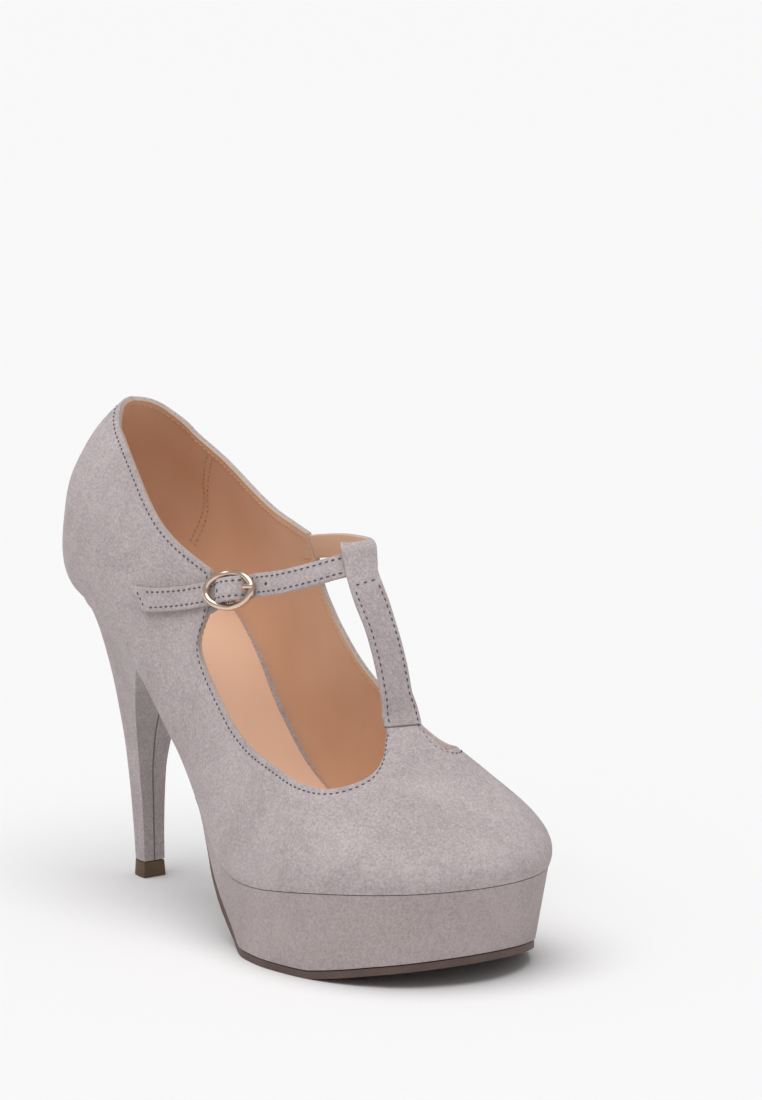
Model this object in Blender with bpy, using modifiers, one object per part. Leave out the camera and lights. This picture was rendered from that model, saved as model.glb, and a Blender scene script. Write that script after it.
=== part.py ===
"""Right-foot T-bar platform shoe with a stiletto heel, as an assembly of its cut and lasted pieces.

Sizes are millimetres in the tables and metres in the scene. X runs from the heel to the toe, Y to
the inner side of the foot and Z up from the floor. The origin is the middle of the forefoot tread.
"""
import math
from collections import namedtuple

import bmesh
import bpy
import numpy as np
from mathutils import Vector
from mathutils.geometry import delaunay_2d_cdt

MM = 0.001
GAP = 0.3
SOLE_GAP = 0.4
TREAD_SPOT_X = 152.0
TREAD_SPOT_Y = -6.0

# Thicknesses and widths of the pieces
WALL = 2.0
INSOLE_THICK = 2.0
INSOLE_INSET = 2.7
OUTSOLE_THICK = 2.5
PLATFORM_TAPER = 4.5
STRAP_WIDTH = 8.0
STRAP_THICK = 1.6
TBAR_WIDTH = 12.5
TBAR_THICK = 1.6
TAB_WIDTH = 8.0
TAB_THICK = 1.0
TOP_PIECE_HEIGHT = 5.5

OUTER = -1
INNER = 1

for old in list(bpy.data.objects):
    bpy.data.objects.remove(old, do_unlink=True)

shoe = bpy.data.collections.new("heeled_shoe")
bpy.context.scene.collection.children.link(shoe)
cutters = bpy.data.collections.new("cutters")
bpy.context.scene.collection.children.link(cutters)
root = bpy.data.objects.new("shoe_root", None)
root.location = (-TREAD_SPOT_X * MM, -TREAD_SPOT_Y * MM, 0.0)
shoe.objects.link(root)

# The last, one row per section. Each section stands on the spine point and turns from straight back
# at the heel to straight ahead at the toe, with its own reach, lean and crown on either side.
Section = namedtuple(
    "Section",
    "spine_x spine_y turn out_reach in_reach foot "
    "out_lean out_belly out_crown in_lean in_belly in_crown ridge",
)
LAST = [
    Section(27.0, 3, 180, 24.5, 24.5, 104.5, 38, 24, 6, 38, 24, 6, 185.0),
    Section(27.0, 3, 150, 26.0, 22.8, 104.2, 38, 24, 6, 38, 24, 7, 185.0),
    Section(27.0, 3, 120, 27.2, 21.4, 102.8, 36, 24, 5.5, 36, 24, 9, 184.0),
    Section(28.0, 3, 90, 28.5, 21.0, 99.5, 33, 25, 6, 30, 25, 11, 183.0),
    Section(45.0, 2, 90, 30.0, 22.8, 92.5, 28, 26, 6, 24, 27, 14, 180.0),
    Section(65.0, 1, 90, 30.8, 21.3, 79.5, 24, 27, 7, 18, 26, 17, 175.0),
    Section(85.0, 0, 90, 31.0, 19.0, 60.5, 20, 27, 6, 14, 26, 19, 166.0),
    Section(105.0, 0, 90, 35.0, 18.5, 42.0, 20, 26, 7, 12, 26, 18, 150.0),
    Section(125.0, 0, 90, 42.3, 23.2, 29.0, 18, 24, 10, 12, 24, 18, 125.0),
    Section(145.0, -1, 90, 47.5, 32.0, 26.0, 16, 20, 16, 13, 20, 20, 103.0),
    Section(165.0, -3, 90, 48.0, 41.0, 27.3, 16, 16, 24, 18, 16, 25, 84.5),
    Section(176.0, -4, 72, 47.0, 45.8, 30.5, 17, 14, 25, 21, 15, 27.2, 76.0),
    Section(182.0, -5, 54, 45.0, 44.9, 32.3, 19, 13, 24, 23, 14, 26.2, 71.5),
    Section(186.0, -6, 36, 41.0, 41.8, 33.0, 21, 12, 22, 23, 13, 23, 68.0),
    Section(189.0, -6, 18, 37.5, 38.0, 33.3, 22, 12, 20, 22, 12, 20, 65.5),
    Section(190.5, -6, 0, 36.0, 36.0, 33.4, 22, 12, 19, 22, 12, 19, 64.3),
]
TOE = len(LAST) - 1
TOE_FAN = 10


def tangents(values):
    """Slopes for a smooth curve through evenly spaced values that doesn't overshoot a level stretch."""
    step = np.diff(values)
    slope = np.concatenate([step[:1], (step[:-1] + step[1:]) / 2, step[-1:]])
    limit = 3 * np.minimum(abs(step[:-1]), abs(step[1:]))
    same = step[:-1] * step[1:] >= 0
    slope[1:-1] = np.where(same, np.clip(slope[1:-1], -limit, limit), slope[1:-1])
    return slope


COLUMN = {name: np.array([getattr(row, name) for row in LAST], float) for name in Section._fields}
SLOPE = {name: tangents(values) for name, values in COLUMN.items()}


def hermite(values, slopes, at):
    at = np.clip(np.asarray(at, float), 0, len(values) - 1)
    low = np.minimum(at.astype(int), len(values) - 2)
    f = at - low
    start = (1 + 2 * f) * (1 - f) ** 2 * values[low] + f * (1 - f) ** 2 * slopes[low]
    return start + f * f * (3 - 2 * f) * values[low + 1] + f * f * (f - 1) * slopes[low + 1]


def last(name, station):
    return hermite(COLUMN[name], SLOPE[name], station)


def skin(station, rise, side):
    """A point on the last: rise is 0 on the feather line and 1 on the ridge."""
    station, rise = np.broadcast_arrays(np.asarray(station, float), np.asarray(rise, float))
    prefix = "out_" if side == OUTER else "in_"
    reach = last(prefix + "reach", station)
    lean = np.radians(last(prefix + "lean", station))
    belly = last(prefix + "belly", station)
    crown = last(prefix + "crown", station)
    foot = last("foot", station)
    ridge = last("ridge", station)
    turn = np.radians(last("turn", station))
    fall = last("ridge", station + 0.02) - last("ridge", station - 0.02)
    run = last("spine_x", station + 0.02) - last("spine_x", station - 0.02)
    pitch = np.where(station > TOE_FAN, fall / np.maximum(run, 0.02) * np.cos(turn), 0.0)
    back = 1 - rise
    w0, w1, w2, w3 = back**3, 3 * rise * back**2, 3 * rise**2 * back, rise**3
    r = w0 * reach + w1 * (reach + belly * np.sin(lean)) + w2 * crown
    z = w0 * foot + w1 * (foot + belly * np.cos(lean)) + w2 * (ridge + pitch * crown) + w3 * ridge
    x = last("spine_x", station) + np.cos(turn) * r
    y = last("spine_y", station) + side * np.sin(turn) * r
    return np.stack([x, y, z], -1)


def outward(station, rise, side):
    """The outward normal of the last, by differences."""
    along = skin(station + 0.02, rise, side) - skin(station - 0.02, rise, side)
    up = skin(station, rise + 0.01, side) - skin(station, rise - 0.01, side)
    normal = np.cross(up, along) * side
    return normal / np.linalg.norm(normal, axis=-1, keepdims=True)


def feather(station, side, inset):
    """A point on the feather line, moved inwards in plan."""
    point = skin(station, 0.0, side)
    turn = np.radians(last("turn", station))
    return point - inset * np.array([np.cos(turn), side * np.sin(turn), 0.0])


def curve(rows, count):
    """A smooth curve of count points a span through the rows."""
    rows = np.array(rows, float)
    at = np.linspace(0, len(rows) - 1, count * (len(rows) - 1) + 1)
    return np.stack([hermite(col, tangents(col), at) for col in rows.T], -1)


def suede(name, colour, roughness, metallic=0.0):
    made = bpy.data.materials.new(name)
    made.use_nodes = True
    shader = made.node_tree.nodes["Principled BSDF"]
    shader.inputs["Base Color"].default_value = (*colour, 1.0)
    shader.inputs["Roughness"].default_value = roughness
    shader.inputs["Metallic"].default_value = metallic
    return made


GREY = (0.41, 0.365, 0.365)
TAN = (0.65, 0.42, 0.28)
BROWN = (0.11, 0.07, 0.055)
GOLD = (0.86, 0.72, 0.50)


def place(name, points, faces, material, smooth_deg):
    """A named piece of the shoe from points in millimetres."""
    mesh = bpy.data.meshes.new(name)
    mesh.from_pydata([tuple(float(v) * MM for v in point) for point in points], [], faces)
    work = bmesh.new()
    work.from_mesh(mesh)
    bmesh.ops.remove_doubles(work, verts=work.verts, dist=0.00004)
    bmesh.ops.recalc_face_normals(work, faces=work.faces)
    work.to_mesh(mesh)
    work.free()
    mesh.shade_smooth()
    mesh.set_sharp_from_angle(angle=math.radians(smooth_deg))
    mesh.materials.append(material)
    made = bpy.data.objects.new(name, mesh)
    made.parent = root
    shoe.objects.link(made)
    return made


def loft(name, rings, material, smooth_deg=40, front_cap=None):
    """A closed body through rings of the same count, capped at both ends."""
    count = len(rings[0])
    points = [point for ring in rings for point in ring]
    faces = []
    for k in range(len(rings) - 1):
        for i in range(count):
            j = (i + 1) % count
            a, b = k * count, (k + 1) * count
            faces.append((a + i, a + j, b + j, b + i))
    faces += front_cap or [tuple(range(count))]
    faces.append(tuple(range(len(points) - count, len(points))))
    return place(name, points, faces, material, smooth_deg)


# The upper: its cut edges as rows of station and rise on the last, then a skin filled between them.
Edge = namedtuple("Edge", "station rise")
OUTER_TOPLINE = [
    Edge(0.00, 0.625),
    Edge(1.00, 0.622),
    Edge(2.00, 0.612),
    Edge(3.00, 0.588),
    Edge(3.60, 0.560),
    Edge(4.13, 0.522),
    Edge(4.65, 0.485),
    Edge(5.21, 0.465),
    Edge(5.79, 0.482),
    Edge(6.37, 0.520),
]
OUTER_SCOOP = [
    Edge(6.37, 0.520),
    Edge(6.50, 0.480),
    Edge(6.54, 0.440),
    Edge(6.48, 0.400),
    Edge(6.52, 0.368),
    Edge(6.71, 0.357),
    Edge(7.13, 0.361),
    Edge(7.60, 0.374),
    Edge(8.00, 0.388),
    Edge(8.40, 0.404),
    Edge(9.06, 0.440),
    Edge(9.92, 0.490),
    Edge(10.54, 0.540),
    Edge(10.93, 0.630),
    Edge(11.17, 0.730),
    Edge(11.12, 0.820),
    Edge(10.66, 0.940),
]
INNER_TOPLINE = [
    Edge(0.00, 0.625),
    Edge(1.00, 0.626),
    Edge(1.80, 0.620),
    Edge(2.40, 0.590),
    Edge(3.00, 0.553),
    Edge(3.50, 0.523),
    Edge(4.20, 0.497),
    Edge(5.00, 0.500),
    Edge(6.00, 0.563),
    Edge(6.87, 0.660),
]
INNER_SCOOP = [
    Edge(6.87, 0.660),
    Edge(7.04, 0.610),
    Edge(7.07, 0.555),
    Edge(7.35, 0.522),
    Edge(7.70, 0.510),
    Edge(8.00, 0.505),
    Edge(8.60, 0.502),
    Edge(9.40, 0.516),
    Edge(10.10, 0.556),
    Edge(10.60, 0.622),
    Edge(10.95, 0.712),
    Edge(11.05, 0.800),
    Edge(10.98, 0.870),
    Edge(10.66, 0.935),
]
TAB_RIDGE = 10.87
CUT = 8.0
STEP = 5.2


def spaced(path, side):
    """The curve again with its points STEP apart on the last, ends kept."""
    run = np.linalg.norm(np.diff(skin(path[:, 0], path[:, 1], side), axis=0), axis=1)
    run = np.concatenate([[0.0], np.cumsum(run)])
    at = np.linspace(0, run[-1], max(2, round(run[-1] / STEP) + 1))
    return [(np.interp(v, run, path[:, 0]), np.interp(v, run, path[:, 1]), side) for v in at]


def edge(rows, side, low=0.0, high=TOE):
    path = curve(rows, 24)
    keep = (path[:, 0] >= low - 1e-6) & (path[:, 0] <= high + 1e-6)
    return spaced(path[keep], side)


def feather_run(low, high, side):
    at = np.linspace(low, high, 400)
    return spaced(np.stack([at, 0 * at], -1), side)


def cut_run(rows, side):
    top = next(row.rise for row in rows if row.station == CUT)
    return spaced(np.stack([np.full(60, CUT), np.linspace(0, top, 60)], -1), side)


def rear_edge(rows, side):
    """The scoop from the ear to the cut, which the front pattern continues."""
    path = curve(rows, 24)
    end = 24 * next(i for i, row in enumerate(rows) if row.station == CUT)
    return spaced(path[: end + 1], side), spaced(path[end:], side)


outer_rear, outer_front = rear_edge(OUTER_SCOOP, OUTER)
inner_rear, inner_front = rear_edge(INNER_SCOOP, INNER)
outer_cut = cut_run(OUTER_SCOOP, OUTER)
inner_cut = cut_run(INNER_SCOOP, INNER)

rear_loop = (
    feather_run(CUT, 0, OUTER)[:-1]
    + feather_run(0, CUT, INNER)[:-1]
    + inner_cut[:-1]
    + inner_rear[::-1][:-1]
    + edge(INNER_TOPLINE, INNER)[::-1][:-1]
    + edge(OUTER_TOPLINE, OUTER)[:-1]
    + outer_rear[:-1]
    + outer_cut[::-1][:-1]
)
front_loop = (
    feather_run(CUT, TOE, OUTER)[:-1]
    + feather_run(TOE, CUT, INNER)[:-1]
    + inner_cut[:-1]
    + inner_front
    + [(TAB_RIDGE, 1.0, INNER)]
    + outer_front[::-1][:-1]
    + outer_cut[::-1][:-1]
)

GIRTH_AT = np.linspace(0, CUT, 200)


def girth(station, side):
    run = np.linalg.norm(np.diff(skin(GIRTH_AT, 0.25, side), axis=0), axis=1)
    return np.interp(station, GIRTH_AT, np.concatenate([[0.0], np.cumsum(run)]))


def rear_plan(station, rise, side):
    """The quarters rolled out flat: round the heel and up the wall."""
    return np.stack([side * girth(station, side), 95.0 * np.asarray(rise, float)], -1)


def front_plan(station, rise, side):
    """The vamp pressed flat: out from the ridge to either side."""
    turn = np.radians(last("turn", station))
    spread = (1 - np.asarray(rise, float)) * (30 + last("ridge", station) - last("foot", station))
    x = last("spine_x", station) + np.cos(turn) * spread
    return np.stack([x, side * np.sin(turn) * spread], -1)


def inside(points, loop):
    """Even-odd test of flat points against a closed flat loop."""
    ax, ay = loop.T
    bx, by = np.roll(loop, -1, axis=0).T
    px, py = points[:, :1], points[:, 1:]
    crosses = (ay > py) != (by > py)
    reach = ax + (py - ay) * (bx - ax) / np.where(by == ay, 1e-9, by - ay)
    return (crosses & (px < reach)).sum(axis=1) % 2 == 1


def fill(loop, plan, stations):
    """Triangles between the points of a loop and points spaced evenly inside it."""
    points = [skin(*row) for row in loop]
    flat = [plan(*row) for row in loop]
    rim = np.array(points)
    border = np.array(flat)
    station, rise = (grid.ravel() for grid in np.meshgrid(stations, np.linspace(0.02, 1, 60), indexing="ij"))
    for side in (OUTER, INNER):
        spots = skin(station, rise, side)
        laid = plan(station, rise, side)
        for k in np.flatnonzero(inside(laid, border)):
            near_rim = np.linalg.norm(rim - spots[k], axis=1).min() < 0.62 * STEP
            near_other = np.linalg.norm(np.array(points) - spots[k], axis=1)[len(loop) :]
            if near_rim or (near_other < 0.88 * STEP).any():
                continue
            points.append(spots[k])
            flat.append(laid[k])
    ring = [(i, (i + 1) % len(loop)) for i in range(len(loop))]
    flat = [Vector((float(u), float(v))) for u, v in flat]
    _, _, faces, source, _, _ = delaunay_2d_cdt(flat, ring, [], 1, 1e-5)
    return points, [tuple(source[i][0] for i in face) for face in faces]


rear_points, rear_faces = fill(rear_loop, rear_plan, np.linspace(0, CUT, 130))
front_points, front_faces = fill(front_loop, front_plan, np.linspace(CUT, TOE, 130))
shift = len(rear_points)
front_faces = [tuple(i + shift for i in face) for face in front_faces]
grey_suede = suede("grey_suede", GREY, 0.92)
upper = place("upper", rear_points + front_points, rear_faces + front_faces, grey_suede, 60)
facing = sum(
    poly.normal.y * poly.center.y * poly.area for poly in upper.data.polygons if poly.center.z < 0.09
)
if facing < 0:
    upper.data.flip_normals()
shell = upper.modifiers.new("wall", "SOLIDIFY")
shell.thickness = WALL * MM
shell.offset = -1
shell.use_even_offset = True
shell.use_quality_normals = True

# The insole, platform and outsole: ribs from the outer to the inner edge, one per station.
Tread = namedtuple("Tread", "x z")
TREAD = [
    Tread(60.0, 100.0),
    Tread(96.0, 52.0),
    Tread(104.0, 42.5),
    Tread(109.0, 35.5),
    Tread(114.0, 29.0),
    Tread(120.0, 21.0),
    Tread(126.0, 13.2),
    Tread(131.0, 7.8),
    Tread(136.0, 4.4),
    Tread(140.0, 3.1),
    Tread(144.0, 2.9),
    Tread(176.0, 2.9),
    Tread(184.0, 3.5),
    Tread(193.0, 5.0),
    Tread(204.0, 7.1),
    Tread(215.0, 9.1),
    Tread(228.0, 11.6),
]
TREAD_LINE = curve(TREAD, 16)
TREAD_SLOPE = np.gradient(TREAD_LINE[:, 1], TREAD_LINE[:, 0])
PLATFORM_FULL = 24.0
WAIST_INSET = 1.2
INSOLE_BACK = 0.16
INSOLE_FRONT = 14.84
PLATFORM_BACK = 7.2
SOLE_FRONT = 14.9
HEEL_FRONT = 4.85
OUTSOLE_BACK = 4.875


def tread(x):
    return np.interp(x, TREAD_LINE[:, 0], TREAD_LINE[:, 1])


def taper(station):
    depth = last("foot", station) - tread(last("spine_x", station))
    return PLATFORM_TAPER * np.clip(depth / PLATFORM_FULL, 0, 1)


def rib(station, inset, height, count):
    """Points from the outer to the inner edge at one station, at a height given by place."""
    start = feather(station, OUTER, inset)
    end = feather(station, INNER, inset)
    row = [start + (end - start) * i / (count - 1) for i in range(count)]
    return [np.array([x, y, height(station, x)]) for x, y, _ in row]


def slab(name, stations, top, bottom, material, count=7):
    rings = []
    for station in stations:
        upper_row = rib(station, *(f(station) if i == 0 else f for i, f in enumerate(top)), count)
        lower_row = rib(station, *(f(station) if i == 0 else f for i, f in enumerate(bottom)), count)
        rings.append(upper_row + lower_row[::-1])
    return loft(name, rings, material)


def insole_inset(station):
    return INSOLE_INSET


def flush(station):
    return 0.2


def outsole_inset(station):
    return max(WAIST_INSET, taper(station) + 0.4)


def insole_top(station, x):
    return last("foot", station) + 0.2 + INSOLE_THICK


def insole_bottom(station, x):
    return last("foot", station) + 0.2


def platform_top(station, x):
    return last("foot", station) - GAP


def platform_bottom(station, x):
    return tread(x)


def outsole_top(station, x):
    return min(last("foot", station), tread(x)) - SOLE_GAP


def outsole_bottom(station, x):
    steep = np.interp(x, TREAD_LINE[:, 0], TREAD_SLOPE) if tread(x) < last("foot", station) else -0.9
    return outsole_top(station, x) - OUTSOLE_THICK * math.hypot(1, steep)


insole_stations = np.concatenate([[INSOLE_BACK, 0.4, 0.8], np.arange(1.25, 14.3, 0.5), [14.5, INSOLE_FRONT]])
platform_stations = np.concatenate([np.arange(PLATFORM_BACK, 14.4, 0.24), [14.6, SOLE_FRONT]])
outsole_stations = np.concatenate([[OUTSOLE_BACK], np.arange(5.2, 6.7, 0.35), np.arange(6.9, 14.4, 0.24), [14.6, SOLE_FRONT]])
sock = suede("sock_leather", TAN, 0.55)
wrap = suede("wrapped_suede", GREY, 0.92)
sole_rubber = suede("sole_rubber", BROWN, 0.6)
slab("insole", insole_stations, (insole_inset, insole_top), (insole_inset, insole_bottom), sock)
slab("platform", platform_stations, (flush, platform_top), (taper, platform_bottom), wrap)
slab("outsole", outsole_stations, (outsole_inset, outsole_top), (outsole_inset, outsole_bottom), sole_rubber)

# The heel: rings that fall from the seat and lose its flare, down to the D-shaped stem.
HeelRing = namedtuple("HeelRing", "fall flare back_x breast_x half_width")
HEEL = [
    HeelRing(0.00, 1.00, 8.0, 36.0, 11.0),
    HeelRing(0.05, 0.66, 9.0, 35.0, 10.2),
    HeelRing(0.11, 0.43, 10.0, 34.0, 9.5),
    HeelRing(0.18, 0.27, 11.0, 33.0, 8.8),
    HeelRing(0.27, 0.15, 12.6, 32.0, 8.0),
    HeelRing(0.37, 0.07, 14.4, 31.3, 7.1),
    HeelRing(0.48, 0.025, 16.2, 31.0, 6.2),
    HeelRing(0.60, 0.0, 18.4, 31.0, 5.5),
    HeelRing(0.74, 0.0, 20.4, 31.2, 4.7),
    HeelRing(0.88, 0.0, 22.0, 31.4, 4.3),
    HeelRing(1.00, 0.0, 23.2, 31.6, 4.2),
]
HALF_POINTS = 14
BREAST_POINTS = 3
ROUND = 0.62
TOP_PIECE_FLARE = 0.35


def stem(back_x, breast_x, half_width):
    """A D-shaped outline: outer breast corner, round the back to the inner corner, along the breast."""
    angles = np.linspace(0, math.pi / 2, HALF_POINTS)
    outer = [(breast_x - (breast_x - back_x) * math.sin(a), -half_width * math.cos(a) ** ROUND) for a in angles]
    outer[-1] = (back_x, 0.0)
    inner = [(x, -y) for x, y in outer[-2::-1]]
    spread = np.linspace(half_width, -half_width, BREAST_POINTS + 2)[1:-1]
    return np.array(outer + inner + [(breast_x, y) for y in spread])


def seat():
    at = np.linspace(HEEL_FRONT, 0, HALF_POINTS)
    outer = [feather(q, OUTER, 0.3) for q in at]
    inner = [feather(q, INNER, 0.3) for q in at[-2::-1]]
    breast = [inner[-1] + (outer[0] - inner[-1]) * i / (BREAST_POINTS + 1) for i in range(1, BREAST_POINTS + 1)]
    return np.array(outer + inner + breast) - np.array([0, 0, GAP])


heel_seat = seat()
heel_rings = []
for row in HEEL:
    outline = stem(row.back_x, row.breast_x, row.half_width)
    flat = outline + (heel_seat[:, :2] - outline) * row.flare
    level = heel_seat[:, 2] * (1 - row.fall) + (TOP_PIECE_HEIGHT + GAP) * row.fall
    heel_rings.append(np.column_stack([flat, level]))
far = 2 * (HALF_POINTS - 1)
seat_faces = [(i, i + 1, far - i - 1, far - i) for i in range(1, HALF_POINTS - 2)]
seat_faces.append((HALF_POINTS - 2, HALF_POINTS - 1, HALF_POINTS))
seat_faces.append((0, 1, far - 1, far, *range(far + 1, len(heel_seat))))
loft("heel", heel_rings, suede("heel_suede", GREY, 0.92), 40, seat_faces)

tip = HEEL[-1]
foot_ring = stem(tip.back_x - TOP_PIECE_FLARE, tip.breast_x + TOP_PIECE_FLARE, tip.half_width + TOP_PIECE_FLARE)
head_ring = stem(tip.back_x, tip.breast_x, tip.half_width)
top_piece_rings = [
    np.column_stack([foot_ring, np.zeros(len(foot_ring))]),
    np.column_stack([head_ring, np.full(len(head_ring), TOP_PIECE_HEIGHT)]),
]
loft("top_piece", top_piece_rings, suede("top_piece_rubber", BROWN, 0.5))


# The straps: flat ribbons along a path, with the direction of their width at each point.
def unit(vector):
    return np.asarray(vector, float) / np.linalg.norm(vector)


def ribbon(name, rows, widths, thick, material, slant=0.0):
    """A strap through rows of a point and a direction across. Slant cuts its end short below."""
    widths = np.broadcast_to(widths, len(rows))
    path = curve([(*point, *across, width) for (point, across), width in zip(rows, widths)], 7)
    run = np.gradient(path[:, :3], axis=0)
    left = np.linalg.norm(path[:, :3] - path[-1, :3], axis=1)
    rings = []
    for centre, ahead, across, width, far in zip(path[:, :3], run, path[:, 3:6], path[:, 6], left):
        ahead = unit(ahead)
        across = unit(across - ahead * across.dot(ahead))
        face = np.cross(ahead, across)
        short = slant * max(0.0, 1 - far / (2.2 * slant)) if slant else 0.0
        ring = []
        for u, v in CORNERS:
            spot = centre + across * u * width / 2 + face * v * thick / 2
            ring.append(spot - ahead * short * (1 - u) / 2)
        rings.append(ring)
    return loft(name, rings, material, 30)


CORNERS = ((-1, -1), (1, -1), (1, 1), (-1, 1))


def on_wall(station, rise, side, off):
    """A row of a strap lying on the upper: its point stands off the skin, its width runs up the wall."""
    normal = outward(station, rise, side)
    up = skin(station, rise + 0.03, side) - skin(station, rise - 0.03, side)
    return skin(station, rise, side) + normal * off, unit(up)


# The buckle stands at the front of the outer ear, its bar across the strap.
BAR = np.array([103.5, -22.3, 114.1])
ALONG = unit([0.95, 0.28, 0.15])
ACROSS = np.array([-0.12, 0.25, 0.96])
ACROSS = unit(ACROSS - ALONG * ACROSS.dot(ALONG))
FACE = np.cross(ACROSS, ALONG)
FACE = FACE * -np.sign(FACE[1])
RING_LONG = 8.7
RING_HIGH = 6.0
RIM_LIFT = 2.9
LIFT_POWER = 0.55
WIRE = 0.8
BAR_WIRE = 0.7
PRONG_WIRE = 0.55
HOLE_AT = 4.3
HOLE_RADIUS = 1.2


def at_buckle(along, across, out):
    return BAR + ALONG * along + ACROSS * across + FACE * out


StrapRow = namedtuple("StrapRow", "x y z up_x up_y")
STRAP_FREE = [
    StrapRow(125.0, 13.3, 128.3, -0.05, -0.12),
    StrapRow(137.0, 12.8, 128.7, -0.15, -0.06),
    StrapRow(143.9, 9.7, 127.5, -0.4, 0.16),
    StrapRow(146.6, 8.0, 126.9, -0.48, 0.26),
    StrapRow(146.9, 6.0, 126.7, -0.48, 0.26),
    StrapRow(145.3, 3.0, 126.7, -0.48, 0.26),
    StrapRow(141.5, -3.9, 126.0, -0.48, 0.26),
    StrapRow(133.5, -10.5, 122.6, -0.3, 0.32),
    StrapRow(122.0, -16.4, 119.0, -0.15, 0.3),
]
BuckleRow = namedtuple("BuckleRow", "along out")
STRAP_BUCKLE = [
    BuckleRow(9.6, -0.9),
    BuckleRow(6.4, -1.05),
    BuckleRow(3.2, 2.3),
    BuckleRow(0.0, 3.2),
    BuckleRow(-3.2, 2.3),
    BuckleRow(-6.4, -1.05),
    BuckleRow(-9.6, -0.7),
]
TAIL = [Edge(6.20, 0.445), Edge(5.85, 0.395), Edge(5.45, 0.333), Edge(5.02, 0.280)]
TAIL_SLANT = 4.5
TUCK = [Edge(6.80, 0.614), Edge(7.06, 0.624)]
TUCK_UP = np.array([0.0, -0.08, 1.0])
TUCK_OFF = WALL + GAP + STRAP_THICK / 2 + 0.8
TAIL_OFF = GAP + STRAP_THICK / 2 + 0.2

strap_rows = [(on_wall(*row, INNER, -TUCK_OFF)[0], TUCK_UP) for row in TUCK]
strap_rows += [(np.array([r.x, r.y, r.z]), unit([r.up_x, r.up_y, 1.0])) for r in STRAP_FREE]
strap_rows += [(at_buckle(r.along, 0.0, r.out), ACROSS) for r in STRAP_BUCKLE]
strap_rows += [on_wall(*row, OUTER, TAIL_OFF) for row in TAIL]
strap_suede = suede("strap_suede", GREY, 0.92)
strap = ribbon("ankle_strap", strap_rows, STRAP_WIDTH, STRAP_THICK, strap_suede, TAIL_SLANT)

# The T-bar starts under the vamp tab, climbs to the strap and folds round it.
TBAR_UNDER = [11.35, 11.02]
TBAR_OFF = WALL + GAP + TBAR_THICK / 2 + 0.6
BarRow = namedtuple("BarRow", "x y z")
TBAR_FREE = [
    BarRow(168.6, -1.4, 79.0),
    BarRow(166.6, 0.2, 86.5),
    BarRow(163.4, 1.5, 95.8),
    BarRow(157.6, 2.3, 107.0),
]
LoopRow = namedtuple("LoopRow", "up out shift width")
LAYER = STRAP_THICK / 2 + GAP + TBAR_THICK / 2 + 0.4
BACK_WIDTH = 7.5
BACK_SHIFT = -2.5
TBAR_LOOP = [
    LoopRow(-6.0, LAYER, 0.0, TBAR_WIDTH),
    LoopRow(0.0, LAYER, 0.0, TBAR_WIDTH),
    LoopRow(4.9, LAYER, 0.0, TBAR_WIDTH),
    LoopRow(6.8, 0.0, -1.2, 10.0),
    LoopRow(4.9, -LAYER, BACK_SHIFT, BACK_WIDTH),
    LoopRow(0.0, -LAYER, BACK_SHIFT, BACK_WIDTH),
    LoopRow(-5.2, -LAYER, BACK_SHIFT, BACK_WIDTH),
    LoopRow(-8.0, -0.35, BACK_SHIFT, BACK_WIDTH),
    LoopRow(-11.0, -0.2, BACK_SHIFT, BACK_WIDTH),
]
loop_row = STRAP_FREE[5]
loop_centre = np.array([loop_row.x, loop_row.y, loop_row.z])
loop_up = unit([loop_row.up_x, loop_row.up_y, 1.0])
loop_side = unit(np.cross(loop_up, [0.87, -0.48, 0.0]))
loop_out = np.cross(loop_side, loop_up)
loop_out = loop_out * np.sign(loop_out[0])
tbar_rows = [on_wall(q, 0.97, INNER, -TBAR_OFF) for q in TBAR_UNDER]
tbar_rows = [(point - np.array([0, 0.8, 0]), np.array([0.0, 1.0, 0.0])) for point, _ in tbar_rows]
tbar_rows += [(np.array(row), np.array([0.0, 1.0, 0.0])) for row in TBAR_FREE]
loop_side = loop_side * np.sign(loop_side[1])
tbar_widths = [TBAR_WIDTH] * len(tbar_rows) + [row.width for row in TBAR_LOOP]
for row in TBAR_LOOP:
    spot = loop_centre + loop_up * row.up + loop_out * row.out + loop_side * row.shift
    tbar_rows.append((spot, loop_side))
ribbon("t_bar", tbar_rows, tbar_widths, TBAR_THICK, suede("tbar_suede", GREY, 0.92))

# The tab runs from inside the outer ear and wraps the buckle bar.
TAB_TUCK = [Edge(5.85, 0.415), Edge(6.20, 0.440), Edge(6.50, 0.463)]
TAB_OFF = WALL + GAP + TAB_THICK / 2 + 0.3
WRAP = BAR_WIRE + 0.45 + TAB_THICK / 2
TAB_LOOP = [
    BuckleRow(-3.0, -WRAP),
    BuckleRow(0.0, -WRAP),
    BuckleRow(WRAP, 0.0),
    BuckleRow(0.0, WRAP),
    BuckleRow(-WRAP, 0.4),
    BuckleRow(-3.2, 0.0),
]
tab_rows = [on_wall(*row, OUTER, -TAB_OFF) for row in TAB_TUCK]
tab_rows += [(at_buckle(r.along, 0.0, r.out), ACROSS) for r in TAB_LOOP]
ribbon("buckle_tab", tab_rows, TAB_WIDTH, TAB_THICK, suede("grey_elastic", GREY, 0.8))


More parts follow.
